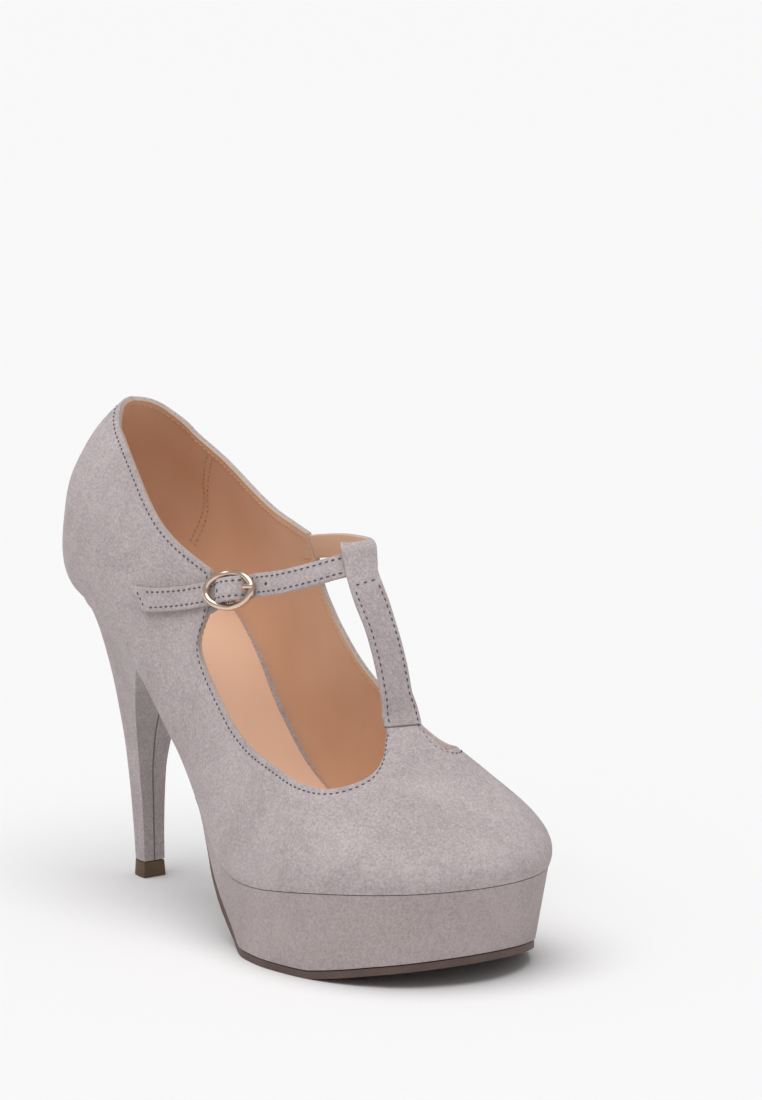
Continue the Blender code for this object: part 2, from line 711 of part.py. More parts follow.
WIRE_SIDES = 10
RING_STEPS = 36
gold = suede("light_gold", GOLD, 0.18, 1.0)
round_turns = np.linspace(0, 2 * math.pi, RING_STEPS, endpoint=False)
oval = []
for a in round_turns:
    lift = RIM_LIFT * abs(math.cos(a)) ** LIFT_POWER
    oval.append(at_buckle(RING_LONG * math.cos(a), RING_HIGH * math.sin(a), lift))
ring_rows = []
for a, spot in zip(round_turns, oval):
    radial = unit(ALONG * math.cos(a) * RING_HIGH + ACROSS * math.sin(a) * RING_LONG)
    turns = np.linspace(0, 2 * math.pi, WIRE_SIDES, endpoint=False)
    ring_rows.append([spot + WIRE * (radial * math.cos(b) + FACE * math.sin(b)) for b in turns])
ring_points = [point for row in ring_rows for point in row]
ring_faces = []
for k in range(RING_STEPS):
    a, b = k * WIRE_SIDES, (k + 1) % RING_STEPS * WIRE_SIDES
    for i in range(WIRE_SIDES):
        j = (i + 1) % WIRE_SIDES
        ring_faces.append((a + i, a + j, b + j, b + i))
frame = place("buckle_frame", ring_points, ring_faces, gold, 60)
bar_rings = []
for across in (-RING_HIGH, RING_HIGH):
    turns = np.linspace(0, 2 * math.pi, WIRE_SIDES, endpoint=False)
    bar_rings.append([at_buckle(BAR_WIRE * math.cos(b), across, BAR_WIRE * math.sin(b)) for b in turns])
bar = loft("buckle_bar", bar_rings, gold)
shoe.objects.unlink(bar)
cutters.objects.link(bar)
bar.hide_render = True
bar.display_type = "WIRE"
join = frame.modifiers.new("bar", "BOOLEAN")
join.operation = "UNION"
join.solver = "EXACT"
join.object = bar

PRONG = [
    BuckleRow(HOLE_AT, 0.2),
    BuckleRow(HOLE_AT, 2.6),
    BuckleRow(HOLE_AT + 0.7, 3.7),
    BuckleRow(RING_LONG, RIM_LIFT + WIRE + PRONG_WIRE + GAP),
    BuckleRow(RING_LONG + 1.5, RIM_LIFT + WIRE + PRONG_WIRE),
]
prong_rings = []
prong_path = curve(PRONG, 5)
for (along, out), (run, rise) in zip(prong_path, np.gradient(prong_path, axis=0)):
    lead = ALONG * -rise / math.hypot(run, rise) + FACE * run / math.hypot(run, rise)
    turns = np.linspace(0, 2 * math.pi, WIRE_SIDES, endpoint=False)
    centre = at_buckle(along, 0.0, out)
    prong_rings.append([centre + PRONG_WIRE * (lead * math.cos(b) + ACROSS * math.sin(b)) for b in turns])
loft("buckle_prong", prong_rings, suede("gold_prong", GOLD, 0.18, 1.0), 60)

# The hole in the strap that the prong comes up through
hole_rings = []
for out in (-2.0, 5.0):
    turns = np.linspace(0, 2 * math.pi, 2 * WIRE_SIDES, endpoint=False)
    hole_rings.append(
        [at_buckle(HOLE_AT + HOLE_RADIUS * math.cos(b), HOLE_RADIUS * math.sin(b), out) for b in turns]
    )
hole = loft("strap_hole", hole_rings, strap_suede)
shoe.objects.unlink(hole)
cutters.objects.link(hole)
hole.hide_render = True
hole.display_type = "WIRE"
punch = strap.modifiers.new("hole", "BOOLEAN")
punch.operation = "DIFFERENCE"
punch.solver = "EXACT"
punch.object = hole
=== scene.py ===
"""Right-foot T-bar platform shoe in grey suede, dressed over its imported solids.

Sizes are millimetres on the shoe and metres in the scene. X runs from the heel to the toe, Y to the
inner side of the foot and Z up from the floor. The origin is the middle of the forefoot tread.
"""
import math
from collections import namedtuple

import bmesh
import bpy
import numpy as np
from mathutils import Matrix, Vector


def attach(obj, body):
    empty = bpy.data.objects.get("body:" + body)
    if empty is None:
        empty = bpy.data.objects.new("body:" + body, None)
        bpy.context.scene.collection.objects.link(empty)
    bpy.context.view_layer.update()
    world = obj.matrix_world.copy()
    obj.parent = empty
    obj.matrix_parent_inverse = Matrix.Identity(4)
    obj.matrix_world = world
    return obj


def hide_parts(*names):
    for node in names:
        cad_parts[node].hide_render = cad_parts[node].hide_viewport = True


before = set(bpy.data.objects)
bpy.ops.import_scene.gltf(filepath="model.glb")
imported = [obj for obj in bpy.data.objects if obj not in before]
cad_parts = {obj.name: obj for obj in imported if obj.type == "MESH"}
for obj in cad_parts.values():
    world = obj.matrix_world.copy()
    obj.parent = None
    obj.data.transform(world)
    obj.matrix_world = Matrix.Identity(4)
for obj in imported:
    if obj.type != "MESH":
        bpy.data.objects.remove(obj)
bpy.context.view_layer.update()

# The upper's skin: suede quarters and vamp, joined at the waist and pulled over a last.
# The last is a row of sections that turn from straight back at the heel to straight ahead at the toe,
# and lines of grain run down it from the cut edge to the feather line.
MM = 0.001
TREAD_SPOT = np.array([152.0, -6.0, 0.0])
OUTER = -1
INNER = 1
Section = namedtuple(
    "Section",
    "spine_x spine_y turn out_reach in_reach foot "
    "out_lean out_belly out_crown in_lean in_belly in_crown ridge",
)
LAST = [
    Section(27.0, 3, 180, 24.5, 24.5, 104.5, 38, 24, 6, 38, 24, 6, 185.0),
    Section(27.0, 3, 150, 26.0, 22.8, 104.2, 38, 24, 6, 38, 24, 7, 185.0),
    Section(27.0, 3, 120, 27.2, 21.4, 102.8, 36, 24, 5.5, 36, 24, 9, 184.0),
    Section(28.0, 3, 90, 28.5, 21.0, 99.5, 33, 25, 6, 30, 25, 11, 183.0),
    Section(45.0, 2, 90, 30.0, 22.8, 92.5, 28, 26, 6, 24, 27, 14, 180.0),
    Section(65.0, 1, 90, 30.8, 21.3, 79.5, 24, 27, 7, 18, 26, 17, 175.0),
    Section(85.0, 0, 90, 31.0, 19.0, 60.5, 20, 27, 6, 14, 26, 19, 166.0),
    Section(105.0, 0, 90, 35.0, 18.5, 42.0, 20, 26, 7, 12, 26, 18, 150.0),
    Section(125.0, 0, 90, 42.3, 23.2, 29.0, 18, 24, 10, 12, 24, 18, 125.0),
    Section(145.0, -1, 90, 47.5, 32.0, 26.0, 16, 20, 16, 13, 20, 20, 103.0),
    Section(165.0, -3, 90, 48.0, 41.0, 27.3, 16, 16, 24, 18, 14, 21.0, 84.5),
    Section(176.0, -4, 72, 47.0, 45.8, 30.5, 17, 14, 25, 21, 15, 23.7, 76.0),
    Section(182.0, -5, 54, 45.0, 44.9, 32.3, 19, 13, 24, 23, 17, 25.9, 71.5),
    Section(186.0, -6, 36, 41.0, 41.8, 33.0, 21, 12, 22, 23, 15, 23.8, 68.0),
    Section(189.0, -6, 18, 37.5, 38.0, 33.3, 22, 12, 20, 22, 12, 20.6, 65.5),
    Section(190.5, -6, 0, 36.0, 36.0, 33.4, 22, 12, 19, 22, 12, 19, 64.3),
]
TOE_FAN = 10


def tangents(values):
    """Slopes for a smooth curve through evenly spaced values that doesn't overshoot a level stretch."""
    step = np.diff(values)
    slope = np.concatenate([step[:1], (step[:-1] + step[1:]) / 2, step[-1:]])
    limit = 3 * np.minimum(abs(step[:-1]), abs(step[1:]))
    same = step[:-1] * step[1:] >= 0
    slope[1:-1] = np.where(same, np.clip(slope[1:-1], -limit, limit), slope[1:-1])
    return slope


COLUMN = {name: np.array([getattr(row, name) for row in LAST], float) for name in Section._fields}
SLOPE = {name: tangents(values) for name, values in COLUMN.items()}


def hermite(values, slopes, at):
    at = np.clip(np.asarray(at, float), 0, len(values) - 1)
    low = np.minimum(at.astype(int), len(values) - 2)
    f = at - low
    start = (1 + 2 * f) * (1 - f) ** 2 * values[low] + f * (1 - f) ** 2 * slopes[low]
    return start + f * f * (3 - 2 * f) * values[low + 1] + f * f * (f - 1) * slopes[low + 1]


def last(name, station):
    return hermite(COLUMN[name], SLOPE[name], station)


def skin(station, rise, side):
    """A point on the last: rise is 0 on the feather line and 1 on the ridge."""
    station, rise = np.broadcast_arrays(np.asarray(station, float), np.asarray(rise, float))
    prefix = "out_" if side == OUTER else "in_"
    reach = last(prefix + "reach", station)
    lean = np.radians(last(prefix + "lean", station))
    belly = last(prefix + "belly", station)
    crown = last(prefix + "crown", station)
    foot = last("foot", station)
    ridge = last("ridge", station)
    turn = np.radians(last("turn", station))
    fall = last("ridge", station + 0.02) - last("ridge", station - 0.02)
    run = last("spine_x", station + 0.02) - last("spine_x", station - 0.02)
    pitch = np.where(station > TOE_FAN, fall / np.maximum(run, 0.02) * np.cos(turn), 0.0)
    back = 1 - rise
    w0, w1, w2, w3 = back**3, 3 * rise * back**2, 3 * rise**2 * back, rise**3
    r = w0 * reach + w1 * (reach + belly * np.sin(lean)) + w2 * crown
    z = w0 * foot + w1 * (foot + belly * np.cos(lean)) + w2 * (ridge + pitch * crown) + w3 * ridge
    x = last("spine_x", station) + np.cos(turn) * r
    y = last("spine_y", station) + side * np.sin(turn) * r
    return np.stack([x, y, z], -1)


def unit(vector):
    vector = np.asarray(vector, float)
    return vector / np.maximum(np.linalg.norm(vector, axis=-1, keepdims=True), 1e-9)


def outward(station, rise, side):
    """The outward normal of the last, by differences."""
    along = skin(station + 0.02, rise, side) - skin(station - 0.02, rise, side)
    up = skin(station, rise + 0.01, side) - skin(station, rise - 0.01, side)
    return unit(np.cross(up, along) * side)


def curve(rows, count):
    """A smooth curve of count points a span through the rows."""
    rows = np.array(rows, float)
    at = np.linspace(0, len(rows) - 1, count * (len(rows) - 1) + 1)
    return np.stack([hermite(col, tangents(col), at) for col in rows.T], -1)


# Foot is the station on the feather line that the line of grain from this spot of the edge runs down to.
Edge = namedtuple("Edge", "station rise foot")
OUTER_TOPLINE = [
    Edge(0.00, 0.646, 0.00),
    Edge(1.00, 0.652, 0.93),
    Edge(2.00, 0.624, 1.87),
    Edge(3.00, 0.583, 2.80),
    Edge(3.60, 0.560, 3.36),
    Edge(4.13, 0.523, 3.86),
    Edge(4.65, 0.485, 4.34),
    Edge(5.21, 0.465, 4.87),
    Edge(5.79, 0.482, 5.41),
    Edge(6.37, 0.520, 5.95),
]
OUTER_SCOOP = [
    Edge(6.37, 0.520, 5.95),
    Edge(6.50, 0.480, 6.08),
    Edge(6.54, 0.440, 6.20),
    Edge(6.48, 0.400, 6.40),
    Edge(6.52, 0.368, 6.62),
    Edge(6.71, 0.357, 6.85),
    Edge(7.13, 0.361, 7.20),
    Edge(7.60, 0.374, 7.62),
    Edge(8.00, 0.388, 8.00),
    Edge(8.40, 0.404, 8.40),
    Edge(9.06, 0.440, 9.00),
    Edge(9.92, 0.490, 9.80),
    Edge(10.54, 0.540, 10.60),
    Edge(10.93, 0.630, 11.30),
    Edge(11.17, 0.730, 11.95),
    Edge(11.12, 0.820, 12.45),
    Edge(10.66, 0.940, 12.80),
]
INNER_TOPLINE = [
    Edge(0.00, 0.646, 0.00),
    Edge(1.00, 0.650, 0.93),
    Edge(1.80, 0.618, 1.68),
    Edge(2.40, 0.571, 2.24),
    Edge(3.00, 0.535, 2.80),
    Edge(3.50, 0.508, 3.26),
    Edge(4.20, 0.489, 3.91),
    Edge(5.00, 0.496, 4.66),
    Edge(6.00, 0.563, 5.59),
    Edge(6.87, 0.660, 6.40),
]
INNER_SCOOP = [
    Edge(6.87, 0.660, 6.40),
    Edge(7.04, 0.610, 6.60),
    Edge(7.07, 0.555, 6.80),
    Edge(7.35, 0.522, 7.15),
    Edge(7.70, 0.510, 7.55),
    Edge(8.00, 0.505, 7.90),
    Edge(8.60, 0.502, 8.50),
    Edge(9.40, 0.512, 9.30),
    Edge(9.85, 0.552, 9.80),
    Edge(10.20, 0.598, 10.40),
    Edge(10.52, 0.655, 10.90),
    Edge(10.82, 0.715, 11.40),
    Edge(11.08, 0.770, 11.80),
    Edge(11.22, 0.818, 12.15),
    Edge(11.20, 0.845, 12.30),
    Edge(11.14, 0.872, 12.50),
    Edge(11.00, 0.889, 12.65),
    Edge(10.82, 0.895, 12.73),
    Edge(10.62, 0.892, 12.80),
]
TAB_TIP = Edge(10.82, 1.0, 12.95)
TOE_TIP = Edge(15.0, 1.0, 15.0)
GRAIN = 1.6
EDGE_ROWS = (0.0, 0.5, 1.2, 2.0, 2.8, 3.8)
SEAM_ROW = 3
WALL_ROWS = 48
GRAIN_BEND = 3.0


def spaced(path, side):
    """The curve again with its points a grain apart on the last, ends kept."""
    run = np.linalg.norm(np.diff(skin(path[:, 0], path[:, 1], side), axis=0), axis=1)
    run = np.concatenate([[0.0], np.cumsum(run)])
    at = np.linspace(0, run[-1], max(2, round(run[-1] / GRAIN) + 1))
    return np.stack([np.interp(at, run, col) for col in path.T], -1)


def eased(values, spread, even):
    """Values along an edge without their small waves, its far end kept, its start level if even."""
    reach = int(3 * spread)
    weight = np.exp(-0.5 * (np.arange(-reach, reach + 1) / spread) ** 2)
    before = values[reach:0:-1] if even else 2 * values[0] - values[reach:0:-1]
    after = 2 * values[-1] - values[-2 : -reach - 2 : -1]
    return np.convolve(np.concatenate([before, values, after]), weight / weight.sum(), "valid")


def levelled(path, side, spread, even):
    """An edge with its height eased along its length."""
    path = path.copy()
    for _ in range(2):
        height = skin(path[:, 0], path[:, 1], side)[:, 2]
        climb = (skin(path[:, 0], path[:, 1] + 0.01, side)[:, 2] - height) / 0.01
        path[:, 1] += (eased(height, spread, even) - height) / climb
    return path


def cut_edge(topline, scoop, side):
    """The edge from the heel's middle to the tab, then the ridge to the toe; how many are sewn and cut."""
    collar = levelled(spaced(curve(topline, 24), side), side, 5.0, True)
    opening = levelled(spaced(curve(scoop, 24), side), side, 1.5, False)
    sewn_edge = np.concatenate([collar, opening[1:]])
    tab_edge = spaced(np.array([scoop[-1], TAB_TIP], float), side)[1:]
    ridge = spaced(curve([TAB_TIP, TOE_TIP], 40), INNER)[1:]
    path = np.concatenate([sewn_edge, tab_edge, ridge])
    return path, len(sewn_edge), len(sewn_edge) + len(tab_edge)


def grain_lines(path, side):
    """Station, rise and distance from the edge for each point of each line of grain."""
    down = np.linspace(1, 0, 160)
    rise = path[:, 1:2] * down
    station = path[:, 2:3] + (path[:, 0:1] - path[:, 2:3]) * down**GRAIN_BEND
    run = np.linalg.norm(np.diff(skin(station, rise, side), axis=1), axis=2)
    run = np.concatenate([np.zeros((len(path), 1)), np.cumsum(run, axis=1)], axis=1)
    rows = []
    for line_station, line_rise, line_run in zip(station, rise, run):
        wall = np.linspace(EDGE_ROWS[-1], line_run[-1], WALL_ROWS)[1:]
        at = np.concatenate([EDGE_ROWS, wall])
        rows.append([np.interp(at, line_run, line_station), np.interp(at, line_run, line_rise), at])
    return np.array(rows).transpose(1, 0, 2)


# Soft creases across the vamp where it bends up to the tab, each from one plan spot to another.
Crease = namedtuple("Crease", "start_x start_y end_x end_y depth width")
CREASES = [
    Crease(175.6, -15.5, 174.8, 3.0, 0.60, 1.3),
    Crease(178.4, -18.5, 177.2, 6.0, 0.70, 1.4),
    Crease(181.4, -20.5, 179.4, 8.0, 0.66, 1.5),
    Crease(184.6, -19.0, 181.2, 10.5, 0.52, 1.7),
    Crease(188.0, -14.0, 183.0, 12.5, 0.36, 1.9),
]
SEAM_DIP = 0.2
SEAM_WIDTH = 0.75


def crease_depth(spots):
    total = np.zeros(spots.shape[:-1])
    for c in CREASES:
        start = np.array([c.start_x, c.start_y])
        span = np.array([c.end_x, c.end_y]) - start
        along = (spots[..., :2] - start) @ span / (span @ span)
        near = start + np.clip(along, 0, 1)[..., None] * span
        off = np.linalg.norm(spots[..., :2] - near, axis=-1)
        fade = np.clip(1.15 - abs(along - 0.5) * 1.6, 0, 1)
        total += c.depth * np.exp(-((off / c.width) ** 2)) * fade * (spots[..., 2] > 55)
    return total


# The collar is drawn in at the heel so that it grips, and the counter below it stands a little fuller
Hold = namedtuple("Hold", "station outer inner full")
HOLD = [
    Hold(0.0, 3.4, 3.4, 1.6),
    Hold(1.0, 4.4, 2.2, 1.8),
    Hold(2.0, 5.8, 1.0, 1.6),
    Hold(3.0, 3.8, 0.3, 0.8),
    Hold(4.0, 0.3, 0.0, 0.0),
    Hold(5.0, 0.0, 0.0, 0.0),
]
HOLD_LINE = curve(HOLD, 12)
HOLD_FADE = 16.0
FULL_AT = 27.0
FULL_SPREAD = 11.0


def collar_hold(line_station, station, away, side):
    """How each point moves in plan where the collar is drawn in."""
    column = 1 if side == OUTER else 2
    draw = eased(np.interp(line_station, HOLD_LINE[:, 0], HOLD_LINE[:, column]), 5.0, True)[:, None]
    full = eased(np.interp(line_station, HOLD_LINE[:, 0], HOLD_LINE[:, 3]), 5.0, True)[:, None]
    move = full * np.exp(-(((away - FULL_AT) / FULL_SPREAD) ** 2))
    move = move - draw * np.clip(1 - away / HOLD_FADE, 0, 1) ** 2
    turn = np.radians(last("turn", station))
    return np.stack([np.cos(turn) * move, side * np.sin(turn) * move, 0 * move], -1)


Side = namedtuple("Side", "spots normals sewn cut")
sides = {}
for side, topline, scoop in ((OUTER, OUTER_TOPLINE, OUTER_SCOOP), (INNER, INNER_TOPLINE, INNER_SCOOP)):
    path, sewn_count, cut = cut_edge(topline, scoop, side)
    station, rise, away = grain_lines(path, side)
    spots = skin(station, rise, side) + collar_hold(path[:, 0], station, away, side)
    normals = outward(station, rise, side)
    held = unit(np.cross(np.gradient(spots, axis=1), np.gradient(spots, axis=0)) * -side)
    normals = np.where(path[:, :1, None] < HOLD[-1].station, held, normals)
    on_edge = (np.arange(len(path)) < cut)[:, None]
    dip = SEAM_DIP * np.exp(-(((away - EDGE_ROWS[SEAM_ROW]) / SEAM_WIDTH) ** 2)) * on_edge
    spots = spots - normals * (dip + crease_depth(spots))[..., None]
    sides[side] = Side(spots, normals, sewn_count, cut)
# The sides meet on the heel's middle line, the ridge from the tab to the toe, and the toe's middle line
ridge_start = cut - 1 - len(path)
for line in (0, (slice(ridge_start, None), 0), -1):
    spots = (sides[OUTER].spots[line] + sides[INNER].spots[line]) / 2
    normals = unit(sides[OUTER].normals[line] + sides[INNER].normals[line])
    for side in sides.values():
        side.spots[line] = spots
        side.normals[line] = normals


def sheet_mesh(name, points, faces, slots=None):
    """An object from points in shoe millimetres, its doubles merged; slots holds each face's material."""
    mesh = bpy.data.meshes.new(name)
    points = (np.asarray(points, float).reshape(-1, 3) - TREAD_SPOT) * MM
    mesh.from_pydata(points.tolist(), [], faces)
    if slots:
        mesh.polygons.foreach_set("material_index", slots)
    work = bmesh.new()
    work.from_mesh(mesh)
    bmesh.ops.remove_doubles(work, verts=work.verts, dist=0.01 * MM)
    bmesh.ops.recalc_face_normals(work, faces=work.faces)
    work.to_mesh(mesh)
    work.free()
    made = bpy.data.objects.new(name, mesh)
    bpy.context.scene.collection.objects.link(made)
    return made


def upper_layer(name, off, thick, rim_slot):
    """A closed layer of the upper, its face off under the skin and its cut edge in its own material."""
    points, faces, slots = [], [], []
    for side in sides.values():
        lines, rows = side.spots.shape[:2]
        first, under = len(points), lines * rows
        for depth in (off, off + thick):
            points.extend((side.spots - side.normals * depth).reshape(-1, 3))
        for i in range(lines - 1):
            top = first + i * rows
            for a in range(top, top + rows - 1):
                faces.append((a, a + 1, a + rows + 1, a + rows))
                faces.append((a + under, a + under + rows, a + under + rows + 1, a + under + 1))
            foot = top + rows - 1
            faces.append((foot, foot + under, foot + under + rows, foot + rows))
            slots += [0] * (len(faces) - len(slots))
            if i < side.cut - 1:
                faces.append((top, top + rows, top + rows + under, top + under))
                # The tab's stretch of cut edge takes slot 1: painted shadow on the suede, the pale raw edge
                # on the lining
                slots.append(rim_slot if i < side.sewn - 1 else 1)
    return sheet_mesh(name, points, faces, slots)


def picked(piece):
    bpy.ops.object.select_all(action="DESELECT")
    piece.select_set(True)
    bpy.context.view_layer.objects.active = piece


def smooth(piece, angle):
    picked(piece)
    bpy.ops.object.shade_smooth_by_angle(angle=math.radians(angle))


def effect_group(name, inputs, outputs):
    """An empty shader node group with its named sockets, and the object's coordinates in it."""
    made = bpy.data.node_groups.new(name, "ShaderNodeTree")
    for socket, kind, value in inputs:
        item = made.interface.new_socket(socket, in_out="INPUT", socket_type=kind)
        item.default_value = value
    for socket, kind in outputs:
        made.interface.new_socket(socket, in_out="OUTPUT", socket_type=kind)
    into, out = made.nodes.new("NodeGroupInput"), made.nodes.new("NodeGroupOutput")
    return made, into.outputs, out.inputs, made.nodes.new("ShaderNodeTexCoord").outputs["Object"]


def finish_group(name, light, dark):
    """An effect that turns a light and a dark colour into colour, height and roughness."""
    return effect_group(
        name,
        [("Light", "NodeSocketColor", (*light, 1)), ("Dark", "NodeSocketColor", (*dark, 1))],
        [("Colour", "NodeSocketColor"), ("Height", "NodeSocketFloat"), ("Roughness", "NodeSocketFloat")],
    )


def texture(tree, kind, coordinate, **settings):
    made = tree.nodes.new(kind)
    for name, value in settings.items():
        made.inputs[name].default_value = value
    tree.links.new(coordinate, made.inputs["Vector"])
    return made


def sum_of(tree, *terms):
    """Adds outputs, each with its own weight."""
    total = None
    for output, weight in terms:
        node = tree.nodes.new("ShaderNodeMath")
        node.operation = "MULTIPLY_ADD"
        tree.links.new(output, node.inputs[0])
        node.inputs[1].default_value = weight
        if total is None:
            node.inputs[2].default_value = 0.0
        else:
            tree.links.new(total, node.inputs[2])
        total = node.outputs[0]
    return total


def between(tree, value, low, high):
    """A value spread from low to high onto 0 to 1."""
    node = tree.nodes.new("ShaderNodeMapRange")
    tree.links.new(value, node.inputs["Value"])
    node.inputs["From Min"].default_value = low
    node.inputs["From Max"].default_value = high
    return node.outputs["Result"]


def blended(tree, mask, low, high):
    node = tree.nodes.new("ShaderNodeMix")
    node.data_type = "RGBA"
    tree.links.new(mask, node.inputs["Factor"])
    for socket, value in (("A", low), ("B", high)):
        end = next(s for s in node.inputs if s.name == socket and s.type == "RGBA")
        if isinstance(value, bpy.types.NodeSocket):
            tree.links.new(value, end)
        else:
            end.default_value = (*value, 1.0)
    return next(s for s in node.outputs if s.type == "RGBA")


def wired(group, shade, height, roughness=None):
    """Joins a finish's shade, height and roughness to the outputs of its group."""
    tree, into, out, _ = group
    tree.links.new(blended(tree, shade, into["Dark"], into["Light"]), out["Colour"])
    tree.links.new(height, out["Height"])
    if roughness:
        tree.links.new(roughness, out["Roughness"])


# Brushed nap: broad patches where the suede was stroked one way or the other, finer tufts and fibre.
nap_group = finish_group("brushed_nap", (0.5, 0.45, 0.45), (0.4, 0.35, 0.35))
nap, _, _, nap_at = nap_group
stroke = texture(nap, "ShaderNodeTexNoise", nap_at, Scale=46.0, Detail=2.0, Roughness=0.5, Distortion=0.6)
tuft = texture(nap, "ShaderNodeTexNoise", nap_at, Scale=330.0, Detail=3.0, Roughness=0.6)
fibre = texture(nap, "ShaderNodeTexNoise", nap_at, Scale=1250.0, Detail=2.0, Roughness=0.6)
shade = sum_of(nap, (stroke.outputs["Fac"], 0.26), (tuft.outputs["Fac"], 0.2), (fibre.outputs["Fac"], 0.64))
wired(
    nap_group,
    between(nap, shade, 0.40, 0.70),
    sum_of(nap, (tuft.outputs["Fac"], 0.5), (fibre.outputs["Fac"], 0.7)),
    between(nap, tuft.outputs["Fac"], -8.0, 2.0),
)

# A fine dark dip on a plane through a spot and on one side of it: a butted seam where two edges meet, and on
# the T-bar the painted shadow under the tab's edge
SEAM_REACH = (0.00045, 0.00005)
dark_line_tree, dark_line_in, dark_line_out, dark_line_coords = effect_group(
    "seam_and_shadow_line",
    [
        ("At", "NodeSocketVector", (0, 0, 0)),
        ("Across", "NodeSocketVector", (0, 1, 0)),
        ("Toward", "NodeSocketVector", (1, 0, 0)),
    ],
    [("Mask", "NodeSocketFloat")],
)


def dark_line_math(kind, operation, *ends):
    """One math node of the dark line's group, with an output or a value on each end."""
    node = dark_line_tree.nodes.new(kind)
    node.operation = operation
    for socket, end in zip(node.inputs, ends):
        if isinstance(end, bpy.types.NodeSocket):
            dark_line_tree.links.new(end, socket)
        else:
            socket.default_value = end
    return node.outputs


dark_line_from = dark_line_math("ShaderNodeVectorMath", "SUBTRACT", dark_line_coords, dark_line_in["At"])["Vector"]
dark_line_across, dark_line_toward = (
    dark_line_math("ShaderNodeVectorMath", "DOT_PRODUCT", dark_line_from, dark_line_in[way])["Value"]
    for way in ("Across", "Toward")
)
dark_line_off = dark_line_math("ShaderNodeMath", "ABSOLUTE", dark_line_across)[0]
dark_line_side = dark_line_math("ShaderNodeMath", "GREATER_THAN", dark_line_toward, 0.0)[0]
dark_line_mask = dark_line_math("ShaderNodeMath", "MULTIPLY", between(dark_line_tree, dark_line_off, *SEAM_REACH), dark_line_side)[0]
dark_line_tree.links.new(dark_line_mask, dark_line_out["Mask"])


def finish(name, group, colours, roughness, bump, bump_mm, dark_line_spot=None, **shader_values):
    """A material that takes its colour, roughness and bump from an effect group, and a dark line if it is
    given one: seams, and the painted shadow under the tab's edge.
    """
    made = bpy.data.materials.new(name)
    made.use_nodes = True
    tree = made.node_tree
    shader = tree.nodes["Principled BSDF"]
    effect = tree.nodes.new("ShaderNodeGroup")
    effect.node_tree = group
    for socket, colour in colours.items():
        effect.inputs[socket].default_value = (*colour, 1.0) if isinstance(colour, tuple) else colour
    colour, height = effect.outputs["Colour"], effect.outputs["Height"]
    if dark_line_spot:
        line = tree.nodes.new("ShaderNodeGroup")
        line.node_tree = dark_line_tree
        for socket, value in dark_line_spot.items():
            line.inputs[socket].default_value = value
        colour = blended(tree, line.outputs["Mask"], colour, SEAM_AND_SHADOW_COLOUR)
        height = sum_of(tree, (height, 1.0), (line.outputs["Mask"], -SEAM_SINK))
    tree.links.new(colour, shader.inputs["Base Color"])
    if roughness is None:
        tree.links.new(effect.outputs["Roughness"], shader.inputs["Roughness"])
    else:
        shader.inputs["Roughness"].default_value = roughness
    relief = tree.nodes.new("ShaderNodeBump")
    relief.inputs["Strength"].default_value = bump
    relief.inputs["Distance"].default_value = bump_mm * MM
    tree.links.new(height, relief.inputs["Height"])
    tree.links.new(relief.outputs["Normal"], shader.inputs["Normal"])
    for socket, value in shader_values.items():
        shader.inputs[socket.replace("_", " ")].default_value = value
    return made


SUEDE_LIGHT = (0.568, 0.496, 0.502)
SUEDE_DARK = (0.362, 0.311, 0.315)
# The dark of the seam lines, also the colour of the painted shadow under the tab's edge
SEAM_AND_SHADOW_COLOUR = (0.16, 0.135, 0.135)
SEAM_SINK = 1.5
SHEEN = {"Sheen_Weight": 0.08, "Sheen_Roughness": 0.5, "Specular_IOR_Level": 0.12}

# The quarter meets the vamp at the inner waist, in a seam from the scoop down to the feather line
waist_top, waist_foot = skin(8.35, 0.5, INNER), skin(7.7, 0.0, INNER)
waist_out = outward(8.0, 0.25, INNER)
WAIST_DEEP = 12
waist_seam = {
    "At": tuple(((waist_top + waist_foot) / 2 - waist_out * WAIST_DEEP - TREAD_SPOT) * MM),
    "Across": tuple(unit(np.cross(waist_top - waist_foot, waist_out))),
    "Toward": tuple(waist_out),
}
SUEDE = {"Light": SUEDE_LIGHT, "Dark": SUEDE_DARK}
NAP_BUMP = 0.5
NAP_HIGH = 0.3


def suede_finish(name, colours=SUEDE, dark_line_spot=None):
    return finish(name, nap, colours, None, NAP_BUMP, NAP_HIGH, dark_line_spot, **SHEEN)


grey_suede = suede_finish("grey_suede", SUEDE, waist_seam)
# Painted shadow: a dark copy of the suede for the tab's cut edge and the punched holes' sides, where shade
# falls
EDGE_SHADOW_SUEDE = {"Light": (0.2, 0.17, 0.17), "Dark": (0.12, 0.1, 0.1)}
edge_shadow_suede = finish("edge_shadow_suede", nap, EDGE_SHADOW_SUEDE, None, 0.3, 0.2)
SUEDE_THICK = 1.0
upper = upper_layer("upper_suede", 0.0, SUEDE_THICK, 0)
upper.data.materials.append(grey_suede)
upper.data.materials.append(edge_shadow_suede)
smooth(upper, 60)
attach(upper, "root")
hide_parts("upper")

